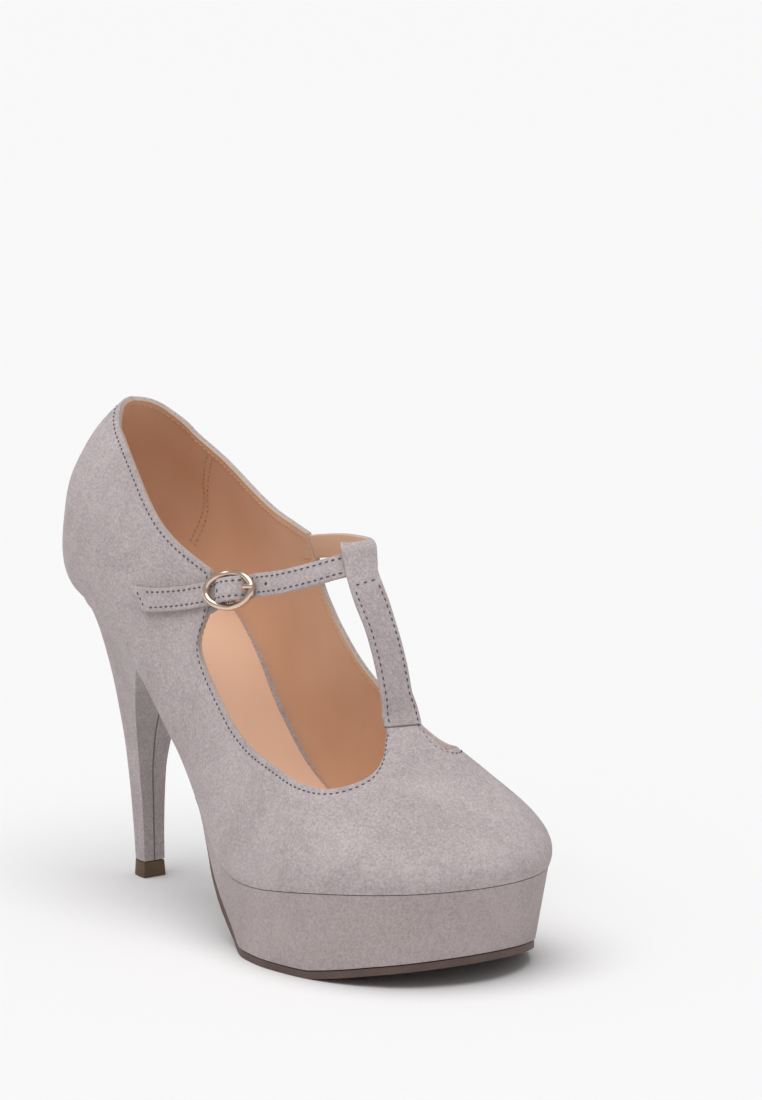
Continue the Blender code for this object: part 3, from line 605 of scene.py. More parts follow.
# The lining: smooth tan leather cemented inside the suede and trimmed level with it, so that its pale
# raw edge shows as a thin line all round the opening.
LINING_THICK = 0.85
LINING_OFF = SUEDE_THICK + 0.03
calf_group = finish_group("smooth_calf", (0.6, 0.4, 0.3), (0.5, 0.3, 0.2))
calf, _, _, calf_at = calf_group
cloud = texture(calf, "ShaderNodeTexNoise", calf_at, Scale=35.0, Detail=2.0, Roughness=0.5)
pore = texture(calf, "ShaderNodeTexVoronoi", calf_at, Scale=1400.0)
shade = sum_of(calf, (cloud.outputs["Fac"], 0.9), (pore.outputs["Distance"], 0.12))
wired(
    calf_group,
    between(calf, shade, 0.3, 0.8),
    pore.outputs["Distance"],
    between(calf, cloud.outputs["Fac"], -1.1, 2.2),
)
LINING = {"Light": (0.81, 0.545, 0.385), "Dark": (0.72, 0.462, 0.314)}
RAW_LINING = {"Light": (0.58, 0.45, 0.35), "Dark": (0.46, 0.34, 0.25)}
CALF_GLOSS = {"Specular_IOR_Level": 0.35}
tan_lining = finish("tan_lining", calf, LINING, None, 0.12, 0.1, **CALF_GLOSS)
cream_edge = finish("cream_edge", calf, RAW_LINING, 0.8, 0.3, 0.2)
lining = upper_layer("lining", LINING_OFF, LINING_THICK, 1)
lining.data.materials.append(tan_lining)
lining.data.materials.append(cream_edge)
smooth(lining, 60)
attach(lining, "root")

# Stitching: waxed slate thread through suede and lining, two millimetres in from every cut edge.
# One stitch is modelled and copied along each row; the bobbin thread inside is tan.
STITCH_LONG = 1.25
STITCH_WIDE = 0.52
STITCH_PITCH = 2.25
bpy.ops.object.select_all(action="DESELECT")
bpy.ops.mesh.primitive_uv_sphere_add(segments=6, ring_count=6, radius=0.5, rotation=(0, math.pi / 2, 0))
model = bpy.context.active_object
bpy.ops.object.transform_apply(location=False, rotation=True, scale=False)
stitch_points = np.array([tuple(v.co) for v in model.data.vertices])
stitch_faces = [tuple(face.vertices) for face in model.data.polygons]
bpy.data.objects.remove(model, do_unlink=True)

twist_group = finish_group("twisted_thread", (0.1, 0.1, 0.1), (0.05, 0.05, 0.05))
twist, _, _, twist_at = twist_group
ply = texture(twist, "ShaderNodeTexNoise", twist_at, Scale=2600.0, Detail=1.0).outputs["Fac"]
wired(twist_group, between(twist, ply, 0.3, 0.7), ply)
SLATE = {"Light": (0.085, 0.085, 0.11), "Dark": (0.03, 0.03, 0.042)}
TAN = {"Light": (0.72, 0.50, 0.34), "Dark": (0.55, 0.35, 0.22)}
slate_thread = finish("slate_thread", twist, SLATE, 0.6, 0.3, 0.1)
tan_thread = finish("tan_thread", twist, TAN, 0.6, 0.3, 0.1)


def stitch_row(spots, normals, pitch=STITCH_PITCH, long=STITCH_LONG, wide=STITCH_WIDE, lift=0.08):
    """Points and faces of the stitches along one run of spots."""
    run = np.concatenate([[0.0], np.cumsum(np.linalg.norm(np.diff(spots, axis=0), axis=1))])
    count = max(1, int(run[-1] // pitch))
    at = (np.arange(count) + 0.5) * run[-1] / count
    points, faces = [], []
    for v in at:
        centre = np.array([np.interp(v, run, col) for col in spots.T])
        ahead = unit([np.interp(v + 0.4, run, col) - np.interp(v - 0.4, run, col) for col in spots.T])
        up = np.array([np.interp(v, run, col) for col in normals.T])
        up = unit(up - ahead * up.dot(ahead))
        beside = np.cross(up, ahead)
        first = len(points) * len(stitch_points)
        points.append(
            centre
            + up * lift
            + stitch_points[:, :1] * ahead * long
            + stitch_points[:, 1:2] * beside * wide
            + stitch_points[:, 2:] * up * wide
        )
        faces += [tuple(i + first for i in face) for face in stitch_faces]
    return np.concatenate(points), faces


def sewn(name, rows, thread):
    """One piece that holds every stitch of these rows."""
    points, faces = [], []
    for row_points, row_faces in rows:
        first = len(points)
        points.extend(row_points)
        faces += [tuple(i + first for i in face) for face in row_faces]
    made = sheet_mesh(name, points, faces)
    made.data.materials.append(thread)
    smooth(made, 80)
    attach(made, "root")
    return made


def seam(side, off):
    """The stitch line of one side, from the heel's middle to the tab, on the skin or off it inwards."""
    part = sides[side]
    up = part.normals[: part.sewn, SEAM_ROW]
    return part.spots[: part.sewn, SEAM_ROW] - up * off, up


INSIDE = LINING_OFF + LINING_THICK + 0.05
sewn("edge_stitches", [stitch_row(*seam(side, 0.0)) for side in (OUTER, INNER)], slate_thread)
sewn("lining_stitches", [stitch_row(*seam(side, INSIDE)) for side in (OUTER, INNER)], tan_thread)

# The lining's heel piece overlaps the rest on the inner side, in a seam sewn twice from topline to seat
HEEL_SEAM = ((3.6, 4), (2.6, 44))
SEAM_PAIR = 1.3
inner_part = sides[INNER]
edge_x = inner_part.spots[: inner_part.sewn, 0, 0]
top_line, foot_line = (
    int(np.argmin(abs(skin(station, 0.5, INNER)[0] - edge_x))) for station, _ in HEEL_SEAM
)
seam_rows = np.arange(HEEL_SEAM[0][1], HEEL_SEAM[1][1])
seam_lines = np.round(np.linspace(top_line, foot_line, len(seam_rows))).astype(int)
heel_seam_up = -inner_part.normals[seam_lines, seam_rows]
heel_seam = inner_part.spots[seam_lines, seam_rows] + heel_seam_up * INSIDE
heel_seam = np.stack([eased(col, 2.0, False) for col in heel_seam.T], -1)
heel_seam_beside = unit(np.cross(np.gradient(heel_seam, axis=0), heel_seam_up))
sewn(
    "heel_piece_stitches",
    [
        stitch_row(heel_seam + heel_seam_beside * shift, heel_seam_up, pitch=1.9, long=1.3, wide=0.5)
        for shift in (-SEAM_PAIR, SEAM_PAIR)
    ],
    tan_thread,
)

# The insole: a thin board wrapped in grey suede, with a tan leather sock cemented on top. The
# sock stops short of the inner wall, so a strip of the wrapped board shows along the arch.
INSOLE_THICK = 2.0
SOCK_THICK = 0.7


def feather(station, side, inset):
    """A point on the feather line, moved inwards in plan."""
    point = skin(station, 0.0, side)
    turn = np.radians(last("turn", station))
    return point - inset * np.array([np.cos(turn), side * np.sin(turn), 0.0])


def loft(name, rings, material, smooth_deg=40, caps=None):
    """A closed body through rings of the same count, capped at both ends."""
    count = len(rings[0])
    points = [point for ring in rings for point in ring]
    faces = []
    for k in range(len(rings) - 1):
        for i in range(count):
            j = (i + 1) % count
            a, b = k * count, (k + 1) * count
            faces.append((a + i, a + j, b + j, b + i))
    faces += caps or [tuple(range(count)), tuple(range(len(points) - count, len(points)))]
    made = sheet_mesh(name, points, faces)
    made.data.materials.append(material)
    smooth(made, smooth_deg)
    return made


def rib(station, out_inset, in_inset, height, count):
    """Points from the outer to the inner edge at one station, at a height given by place."""
    start = feather(station, OUTER, out_inset)
    end = feather(station, INNER, in_inset)
    row = [start + (end - start) * i / (count - 1) for i in range(count)]
    return [np.array([x, y, height(station, x)]) for x, y, _ in row]


def slab(name, stations, top, bottom, material, count=9):
    """A layer of the sole: each face is given by its outer inset, inner inset and height."""
    rings = []
    for station in stations:
        over = rib(station, top[0](station), top[1](station), top[2], count)
        under = rib(station, bottom[0](station), bottom[1](station), bottom[2], count)
        rings.append(over + under[::-1])
    return loft(name, rings, material)


SEAT_LIFT = 0.2
BOARD_HIGH = SEAT_LIFT + INSOLE_THICK - SOCK_THICK
SOCK_HIGH = SEAT_LIFT + INSOLE_THICK
GLUE = 0.02


def over_foot(height):
    """A level that keeps this height over the feather line."""
    return lambda station, x: last("foot", station) + height


# How much of the wrapped board shows beside the sock on the inner side
Margin = namedtuple("Margin", "station shows")
MARGIN = [
    Margin(0.0, 0.1),
    Margin(2.5, 0.2),
    Margin(4.0, 1.0),
    Margin(5.5, 2.5),
    Margin(6.4, 2.4),
    Margin(7.1, 1.0),
    Margin(7.8, 0.15),
    Margin(9.0, 0.1),
    Margin(12.0, 0.1),
    Margin(15.0, 0.1),
]
MARGIN_LINE = curve(MARGIN, 12)


def meets_lining(side, height, beside=0.05):
    """The inset at which the lining's inner face stands at this height over the feather line."""
    prefix = "out_" if side == OUTER else "in_"

    def inset(station):
        lean = np.radians(last(prefix + "lean", station))
        return (LINING_OFF + LINING_THICK) / np.cos(lean) - height * np.tan(lean) + beside

    return inset


def sock_margin(station):
    wall = meets_lining(INNER, SOCK_HIGH)
    return wall(station) + np.interp(station, MARGIN_LINE[:, 0], MARGIN_LINE[:, 1])


sole_stations = np.concatenate([[0.16, 0.3], np.arange(0.5, 14.6, 0.1), [14.7, 14.84]])
wrapped_board = slab(
    "insole_board",
    sole_stations,
    (meets_lining(OUTER, BOARD_HIGH), meets_lining(INNER, BOARD_HIGH), over_foot(BOARD_HIGH)),
    (meets_lining(OUTER, SEAT_LIFT), meets_lining(INNER, SEAT_LIFT), over_foot(SEAT_LIFT)),
    grey_suede,
)
SOCK = {"Light": (0.90, 0.64, 0.475), "Dark": (0.85, 0.585, 0.42)}
tan_sock = finish("tan_sock", calf, SOCK, None, 0.12, 0.1, **CALF_GLOSS)
sock = slab(
    "insole_sock",
    sole_stations,
    (meets_lining(OUTER, SOCK_HIGH), sock_margin, over_foot(SOCK_HIGH)),
    (meets_lining(OUTER, BOARD_HIGH), sock_margin, over_foot(BOARD_HIGH + GLUE)),
    tan_sock,
)


def worked(piece, kind, **settings):
    """Adds one modifier to a piece and applies it."""
    tool = piece.modifiers.new(kind.lower(), kind)
    for name, value in settings.items():
        setattr(tool, name, value)
    picked(piece)
    bpy.ops.object.modifier_apply(modifier=tool.name)


def rounded(piece, width, segments, sharp=50, smooth_deg=40):
    """Takes the sharpness off a piece's edges."""
    limit = math.radians(sharp)
    worked(piece, "BEVEL", width=width * MM, segments=segments, limit_method="ANGLE", angle_limit=limit)
    smooth(piece, smooth_deg)


rounded(sock, 0.25, 2)
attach(wrapped_board, "root")
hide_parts("insole")
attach(sock, "root")

# The platform: a rigid block under the forefoot, wrapped in the same suede, which is turned under at
# the edge. It runs out behind the ball, where the tread line climbs to the feather line.
GAP = 0.3
PLATFORM_TAPER = 4.5
PLATFORM_FULL = 24.0
BEHIND_BALL = 8.3
BEHIND_DRAW = 0.68
BEHIND_SPREAD = 0.6
Tread = namedtuple("Tread", "x z")
TREAD = [
    Tread(60.0, 100.0),
    Tread(96.0, 52.0),
    Tread(104.0, 42.5),
    Tread(109.0, 35.5),
    Tread(114.0, 29.0),
    Tread(120.0, 21.0),
    Tread(126.0, 13.2),
    Tread(131.0, 7.8),
    Tread(136.0, 4.4),
    Tread(140.0, 3.1),
    Tread(144.0, 2.9),
    Tread(176.0, 2.9),
    Tread(184.0, 3.5),
    Tread(193.0, 5.0),
    Tread(204.0, 7.1),
    Tread(215.0, 9.1),
    Tread(228.0, 11.6),
]
TREAD_LINE = curve(TREAD, 16)
TREAD_SLOPE = np.gradient(TREAD_LINE[:, 1], TREAD_LINE[:, 0])


def tread(x):
    return np.interp(x, TREAD_LINE[:, 0], TREAD_LINE[:, 1])


def taper(station):
    depth = last("foot", station) - tread(last("spine_x", station))
    return PLATFORM_TAPER * np.clip(depth / PLATFORM_FULL, 0, 1)


def outer_taper(station):
    """The outer wall stands upright beside the ball of the foot, and tapers behind it and round the toe."""
    behind = BEHIND_DRAW * np.exp(-(((station - BEHIND_BALL) / BEHIND_SPREAD) ** 2))
    return taper(station) * (np.interp(station, [9.6, 11.8], [0.1, 1.0]) + behind)


def flush(station):
    return 0.2


def platform_top(station, x):
    return last("foot", station) - GAP


def platform_bottom(station, x):
    return min(tread(x), platform_top(station, x) - 0.2)


platform_stations = np.concatenate([np.arange(6.8, 14.6, 0.06), [14.75, 14.9]])
# The wrap takes a darker copy of the upper's suede colours: painted shade on the platform's sides
SHADED_WRAP_SUEDE = {"Light": (0.515, 0.438, 0.438), "Dark": (0.36, 0.301, 0.301)}
platform_suede = suede_finish("platform_suede", SHADED_WRAP_SUEDE)
platform = slab(
    "platform_wrap",
    platform_stations,
    (flush, flush, platform_top),
    (outer_taper, taper, platform_bottom),
    platform_suede,
)
rounded(platform, 0.7, 3)
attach(platform, "root")
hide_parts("platform")

# The outsole: a sheet of brown rubber cemented under the platform and up the waist to the heel,
# skived thin where it ends at the breast.
SOLE_GAP = 0.4
WAIST_INSET = 1.2
Skive = namedtuple("Skive", "station thick")
SKIVES = [Skive(4.8, 0.5), Skive(5.6, 1.1), Skive(6.6, 1.4), Skive(7.6, 2.5), Skive(15.0, 2.5)]


def outsole_inset(station):
    return max(WAIST_INSET, taper(station) + 0.4)


def outer_outsole_inset(station):
    return max(np.interp(station, [6.8, 8.2], [WAIST_INSET, 0.0]), outer_taper(station) + 0.3)


def outsole_top(station, x):
    return min(last("foot", station), tread(x)) - SOLE_GAP


def outsole_bottom(station, x):
    steep = np.interp(x, TREAD_LINE[:, 0], TREAD_SLOPE) if tread(x) < last("foot", station) else -0.9
    thick = np.interp(station, [s.station for s in SKIVES], [s.thick for s in SKIVES])
    return outsole_top(station, x) - thick * math.hypot(1, steep)


rubber_group = finish_group("moulded_rubber", (0.14, 0.09, 0.07), (0.08, 0.05, 0.04))
rubber, _, _, rubber_at = rubber_group
bloom = texture(rubber, "ShaderNodeTexNoise", rubber_at, Scale=90.0, Detail=4.0, Roughness=0.6).outputs["Fac"]
pebble = texture(rubber, "ShaderNodeTexVoronoi", rubber_at, Scale=900.0).outputs["Distance"]
wired(rubber_group, between(rubber, bloom, 0.3, 0.7), pebble, between(rubber, bloom, -1.0, 1.6))
SOLE_BROWN = {"Light": (0.135, 0.085, 0.072), "Dark": (0.085, 0.052, 0.045)}
sole_rubber = finish("sole_rubber", rubber, SOLE_BROWN, None, 0.2, 0.2)
outsole_stations = np.concatenate([[4.875, 5.0], np.arange(5.1, 14.6, 0.06), [14.75, 14.9]])
outsole = slab(
    "outsole_sheet",
    outsole_stations,
    (outer_outsole_inset, outsole_inset, outsole_top),
    (outer_outsole_inset, outsole_inset, outsole_bottom),
    sole_rubber,
)
rounded(outsole, 0.4, 2)
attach(outsole, "root")
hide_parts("outsole")

# The heel: a moulded stiletto block covered in suede, screwed up through the seat from inside. Its rings
# fall from the seat and lose its flare, down to the D-shaped stem.
TOP_PIECE_HEIGHT = 5.5
HEEL_FRONT = 4.85
SEAT_INSET = 0.3
HeelRing = namedtuple("HeelRing", "fall flare back_x breast_x half_width")
HEEL = [
    HeelRing(0.00, 1.00, 8.0, 36.0, 11.0),
    HeelRing(0.05, 0.66, 9.0, 35.0, 10.2),
    HeelRing(0.11, 0.43, 10.0, 34.0, 9.5),
    HeelRing(0.18, 0.27, 11.0, 33.0, 8.8),
    HeelRing(0.27, 0.15, 12.6, 32.0, 8.0),
    HeelRing(0.37, 0.07, 14.4, 31.3, 7.1),
    HeelRing(0.48, 0.025, 16.2, 31.0, 6.2),
    HeelRing(0.60, 0.0, 18.4, 31.0, 5.5),
    HeelRing(0.74, 0.0, 20.4, 31.2, 4.7),
    HeelRing(0.88, 0.0, 22.0, 31.4, 4.3),
    HeelRing(1.00, 0.0, 23.2, 31.6, 4.2),
]
HALF_POINTS = 40
BREAST_POINTS = 9
ROUND = 0.62
TOP_PIECE_FLARE = 0.35


def stem(back_x, breast_x, half_width):
    """A D-shaped outline: outer breast corner, round the back to the inner corner, along the breast."""
    angles = np.linspace(0, math.pi / 2, HALF_POINTS)
    deep = breast_x - back_x
    outer = [(breast_x - deep * math.sin(a), -half_width * math.cos(a) ** ROUND) for a in angles]
    outer[-1] = (back_x, 0.0)
    inner = [(x, -y) for x, y in outer[-2::-1]]
    spread = np.linspace(half_width, -half_width, BREAST_POINTS + 2)[1:-1]
    return np.array(outer + inner + [(breast_x, y) for y in spread])


def seat():
    at = np.linspace(HEEL_FRONT, 0, HALF_POINTS)
    outer = [feather(q, OUTER, SEAT_INSET) for q in at]
    inner = [feather(q, INNER, SEAT_INSET) for q in at[-2::-1]]
    span = outer[0] - inner[-1]
    breast = [inner[-1] + span * i / (BREAST_POINTS + 1) for i in range(1, BREAST_POINTS + 1)]
    return np.array(outer + inner + breast) - np.array([0, 0, GAP])


heel_seat = seat()
heel_rings = []
for fall, flare, back_x, breast_x, half_width in curve(HEEL, 6):
    outline = stem(back_x, breast_x, half_width)
    flat = outline + (heel_seat[:, :2] - outline) * flare
    level = heel_seat[:, 2] * (1 - fall) + (TOP_PIECE_HEIGHT + GAP) * fall
    heel_rings.append(np.column_stack([flat, level]))
far = 2 * (HALF_POINTS - 1)
seat_faces = [(i, i + 1, far - i - 1, far - i) for i in range(1, HALF_POINTS - 2)]
seat_faces.append((HALF_POINTS - 2, HALF_POINTS - 1, HALF_POINTS))
seat_faces.append((0, 1, far - 1, far, *range(far + 1, len(heel_seat))))
tip_first = (len(heel_rings) - 1) * len(heel_seat)
seat_faces.append(tuple(range(tip_first, tip_first + len(heel_seat))))
BREAST_FROM = 28.0
breast_seam = {
    "At": ((BREAST_FROM - TREAD_SPOT[0]) * MM, -TREAD_SPOT[1] * MM, 0.0),
    "Across": (0, 1, 0),
    "Toward": (1, 0, 0),
}
heel_suede = suede_finish("heel_suede", SUEDE, breast_seam)
heel = loft("heel_cover", heel_rings, heel_suede, 40, seat_faces)
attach(heel, "root")
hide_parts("heel")

# The top piece: a hard brown rubber tip, pinned to the foot of the heel. It has the stem's D shape
# and flares a little to the floor.
tip = HEEL[-1]
foot_ring = stem(
    tip.back_x - TOP_PIECE_FLARE, tip.breast_x + TOP_PIECE_FLARE, tip.half_width + TOP_PIECE_FLARE
)
head_ring = stem(tip.back_x, tip.breast_x, tip.half_width)
TIP_BROWN = {"Light": (0.15, 0.088, 0.045), "Dark": (0.09, 0.052, 0.028)}
tip_rubber = finish("tip_rubber", rubber, TIP_BROWN, None, 0.15, 0.15)
top_piece = loft(
    "heel_tip",
    [
        np.column_stack([foot_ring, np.zeros(len(foot_ring))]),
        np.column_stack([head_ring, np.full(len(head_ring), TOP_PIECE_HEIGHT)]),
    ],
    tip_rubber,
)
rounded(top_piece, 0.3, 2)
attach(top_piece, "root")
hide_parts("top_piece")

# The ankle strap: two layers sewn back to back, suede outside and tan leather inside. It comes out
# from behind the inner ear, through the T-bar's loop and the buckle, and its tail lies on the quarter.
STRAP_WIDTH = 8.0
STRAP_THICK = 1.6
WALL = 2.0
BAR = np.array([105.5, -21.7, 114.4])
ALONG = unit([0.95, 0.28, 0.15])
ACROSS = np.array([-0.12, 0.25, 0.96])
ACROSS = unit(ACROSS - ALONG * ACROSS.dot(ALONG))
FACE = np.cross(ACROSS, ALONG)
FACE = FACE * -np.sign(FACE[1])


def at_buckle(along, across, out):
    return BAR + ALONG * along + ACROSS * across + FACE * out


def on_wall(station, rise, side, off):
    """A row of a strap lying on the upper: its point stands off the skin, its width runs up the wall."""
    normal = outward(station, rise, side)
    up = skin(station, rise + 0.03, side) - skin(station, rise - 0.03, side)
    return skin(station, rise, side) + normal * off, unit(up)


StrapRow = namedtuple("StrapRow", "x y z up_x up_y")
STRAP_FREE = [
    StrapRow(107.5, 14.3, 125.4, 0.0, -0.1),
    StrapRow(125.0, 13.3, 128.3, -0.05, -0.12),
    StrapRow(137.0, 12.8, 128.7, -0.15, -0.06),
    StrapRow(143.4, 8.3, 127.5, -0.4, 0.16),
    StrapRow(145.5, 6.8, 126.9, -0.48, 0.26),
    StrapRow(146.0, 5.1, 126.7, -0.48, 0.26),
    StrapRow(145.3, 3.0, 126.7, -0.48, 0.26),
    StrapRow(141.5, -3.9, 125.7, -0.48, 0.26),
    StrapRow(133.5, -10.3, 122.4, -0.3, 0.32),
    StrapRow(124.0, -15.6, 119.2, -0.18, 0.3),
]
BuckleRow = namedtuple("BuckleRow", "along across out")
STRAP_BUCKLE = [
    BuckleRow(10.8, 1.5, -0.9),
    BuckleRow(7.2, 1.0, -1.1),
    BuckleRow(3.4, 0.4, 2.2),
    BuckleRow(0.0, 0.0, 3.2),
    BuckleRow(-3.4, -0.3, 2.2),
    BuckleRow(-7.2, -0.7, -1.1),
    BuckleRow(-10.8, -0.8, -0.7),
]
WallRow = namedtuple("WallRow", "station rise")
TAIL = [WallRow(6.20, 0.432), WallRow(5.85, 0.380), WallRow(5.40, 0.315), WallRow(4.90, 0.250)]
TAIL_SLANT = 6.5
TUCK = [WallRow(6.50, 0.565), WallRow(6.80, 0.608)]
TUCK_UP = np.array([0.0, -0.08, 1.0])
TUCK_OFF = SUEDE_THICK
TAIL_OFF = GAP + STRAP_THICK / 2 + 0.2
SPAN_POINTS = 10
CORNER_STEPS = 3
Band = namedtuple("Band", "centre ahead across face width short")


def band_line(rows, widths, slant=0.0):
    """The middle of a strap with its directions: ahead, across and out of its face."""
    widths = np.broadcast_to(widths, len(rows))
    path = curve([(*point, *across, width) for (point, across), width in zip(rows, widths)], SPAN_POINTS)
    ahead = unit(np.gradient(path[:, :3], axis=0))
    across = path[:, 3:6] - ahead * np.sum(path[:, 3:6] * ahead, axis=1, keepdims=True)
    across = unit(across)
    left = np.linalg.norm(path[:, :3] - path[-1, :3], axis=1)
    short = slant * np.clip(1 - left / (2.2 * slant), 0, None) if slant else 0 * left
    return Band(path[:, :3], ahead, across, np.cross(ahead, across), path[:, 6], short)


def band_spot(band, i, across, out):
    """A spot of the strap at one row: across from its middle and out from its face, in millimetres."""
    spot = band.centre[i] + band.across[i] * across + band.face[i] * out
    return spot - band.ahead[i] * band.short[i] * (0.5 - across / band.width[i])


def band_profile(width, thick, corner):
    """A flat strap's section with rounded edges, from the middle of its back round to its front."""
    points = []
    wide, deep = width / 2 - corner, thick / 2 - corner
    for u, v, start in ((1, -1, -90), (1, 1, 0), (-1, 1, 90), (-1, -1, 180)):
        for step in range(CORNER_STEPS + 1):
            a = math.radians(start + 90 * step / CORNER_STEPS)
            points.append((u * wide + corner * math.cos(a), v * deep + corner * math.sin(a)))
    return points


def strap_body(name, band, thick, corner, outer, inner, suede_side):
    """A closed strap along a band, suede on one face and its rounded edges, lining on the other."""
    rings = []
    for i in range(len(band.centre)):
        rings.append([band_spot(band, i, u, v) for u, v in band_profile(band.width[i], thick, corner)])
    made = loft(name, rings, outer, 50)
    made.data.materials.append(inner)
    middle = (band.centre - TREAD_SPOT) * MM
    for face in made.data.polygons:
        i = int(np.argmin(np.linalg.norm(middle - np.array(face.center), axis=1)))
        if np.dot(np.array(face.normal), band.face[i]) * suede_side < -0.6:
            face.material_index = 1
    return made


strap_rows = [(on_wall(*row, INNER, -TUCK_OFF)[0], TUCK_UP) for row in TUCK]
strap_rows += [(np.array([r.x, r.y, r.z]), unit([r.up_x, r.up_y, 1.0])) for r in STRAP_FREE]
strap_rows += [(at_buckle(*row), ACROSS) for row in STRAP_BUCKLE]
strap_rows += [on_wall(*row, OUTER, TAIL_OFF) for row in TAIL]
strap_band = band_line(strap_rows, STRAP_WIDTH, TAIL_SLANT)
BAR_ROW = (len(TUCK) + len(STRAP_FREE) + 3) * SPAN_POINTS
STRAP_OUT = float(np.sign(strap_band.face[BAR_ROW] @ FACE))
strap_suede = suede_finish("strap_suede")
strap = strap_body("ankle_strap_band", strap_band, STRAP_THICK, 0.45, strap_suede, tan_lining, STRAP_OUT)

# The strap's adjusting holes, punched round, their raw sides dark with painted shade, one of them for the
# prong
Hole = namedtuple("Hole", "along radius")
HOLE_AT = 6.5
HOLES = [Hole(HOLE_AT, 1.2), Hole(-2.8, 0.65), Hole(15.0, 0.6)]
for hole in HOLES:
    row = int(np.argmin(np.linalg.norm(strap_band.centre - at_buckle(hole.along, 0.5, 1.0), axis=1)))
    bpy.ops.object.select_all(action="DESELECT")
    bpy.ops.mesh.primitive_cylinder_add(vertices=20, radius=hole.radius * MM, depth=6 * MM)
    punch = bpy.context.active_object
    aim = Vector(strap_band.face[row]).to_track_quat("Z", "Y").to_matrix().to_4x4()
    aim.translation = Vector((strap_band.centre[row] - TREAD_SPOT) * MM)
    punch.matrix_world = aim
    punch.data.materials.append(edge_shadow_suede)
    worked(strap, "BOOLEAN", operation="DIFFERENCE", solver="EXACT", material_mode="TRANSFER", object=punch)
    bpy.data.objects.remove(punch, do_unlink=True)
smooth(strap, 50)
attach(strap, "root")
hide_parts("ankle_strap")

# Two rows of stitches hold the strap's layers together and turn along its slanted end.
BAND_SEAM = 1.45
TAIL_SEAM = 1.8


def band_row(band, rows, across, thick, facing):
    """A stitch row along a strap, given its rows and its place across."""
    across = np.broadcast_to(across, len(rows))
    spots = np.array([band_spot(band, i, a, facing * thick / 2) for i, a in zip(rows, across)])
    return stitch_row(spots, np.array([band.face[i] * facing for i in rows]))


strap_seam = STRAP_WIDTH / 2 - BAND_SEAM
last_row = len(strap_band.centre) - 1
long_rows = list(range(2 * SPAN_POINTS, last_row - 5))
tail_end = np.linspace(-strap_seam, strap_seam, 9)
tail_rows = np.array([band_spot(strap_band, last_row, a, STRAP_OUT * STRAP_THICK / 2) for a in tail_end])
tail_rows = tail_rows - strap_band.ahead[last_row] * TAIL_SEAM
tail_up = np.repeat(strap_band.face[last_row][None] * STRAP_OUT, len(tail_end), axis=0)
sewn(
    "strap_stitches",
    [
        band_row(strap_band, long_rows, strap_seam, STRAP_THICK, STRAP_OUT),
        band_row(strap_band, long_rows, -strap_seam, STRAP_THICK, STRAP_OUT),
        stitch_row(tail_rows, tail_up, pitch=1.9, long=1.1),
    ],
    slate_thread,
)

# The T-bar: a lined suede bar sewn under the vamp's tab, which climbs the instep and folds back on
# itself round the ankle strap.
TBAR_WIDTH = 12.5
TBAR_THICK = 1.6
TBAR_UNDER = [11.35, 11.02]
TBAR_OFF = WALL + GAP + TBAR_THICK / 2 + 0.6
BarRow = namedtuple("BarRow", "x y z")
TBAR_FREE = [
    BarRow(168.6, 0.8, 79.0),
    BarRow(166.6, 0.35, 86.5),
    BarRow(163.4, 0.6, 95.8),
    BarRow(157.6, 1.1, 107.0),
]
LoopRow = namedtuple("LoopRow", "up out shift width")
LAYER = STRAP_THICK / 2 + GAP + TBAR_THICK / 2 + 0.4
BASE_WIDTH = 14.6
LOOP_TILT = 0.12
BACK_WIDTH = 7.5
BACK_SHIFT = -2.5
TBAR_LOOP = [
    LoopRow(-6.0, LAYER, -0.9, 10.7),
    LoopRow(0.0, LAYER, -0.9, 11.3),
    LoopRow(4.9, LAYER, -0.7, 11.8),
    LoopRow(6.8, 0.0, -1.4, 10.6),
    LoopRow(4.9, -LAYER, BACK_SHIFT, BACK_WIDTH),
    LoopRow(0.0, -LAYER, BACK_SHIFT, BACK_WIDTH),
    LoopRow(-5.2, -LAYER, -1.4, BACK_WIDTH),
    LoopRow(-8.0, -0.35, -0.2, BACK_WIDTH),
    LoopRow(-11.0, -0.2, 0.6, BACK_WIDTH),
]
LOOP_AT = 6
loop_row = STRAP_FREE[LOOP_AT]
loop_centre = np.array([loop_row.x, loop_row.y, loop_row.z])
loop_up = unit([loop_row.up_x, LOOP_TILT, 1.0])
loop_side = unit(np.cross(loop_up, [0.87, -0.48, 0.0]))
loop_out = np.cross(loop_side, loop_up)
loop_out = loop_out * np.sign(loop_out[0])
loop_side = loop_side * np.sign(loop_side[1])
bar_across = np.array([0.0, 1.0, 0.0])
tbar_rows = [(on_wall(q, 0.97, INNER, -TBAR_OFF)[0] + np.array([0, 0.4, 0]), bar_across) for q in TBAR_UNDER]
tbar_rows += [(np.array(row), bar_across) for row in TBAR_FREE]
for row in TBAR_LOOP:
    spot = loop_centre + loop_up * row.up + loop_out * row.out + loop_side * row.shift
    tbar_rows.append((spot, loop_side))
tbar_widths = [TBAR_WIDTH, TBAR_WIDTH, BASE_WIDTH, *[TBAR_WIDTH] * 3, *[row.width for row in TBAR_LOOP]]
tbar_band = band_line(tbar_rows, tbar_widths)
LOOP_ROW = (len(TBAR_UNDER) + len(TBAR_FREE)) * SPAN_POINTS
TBAR_OUT = float(np.sign(tbar_band.face[LOOP_ROW] @ loop_out))

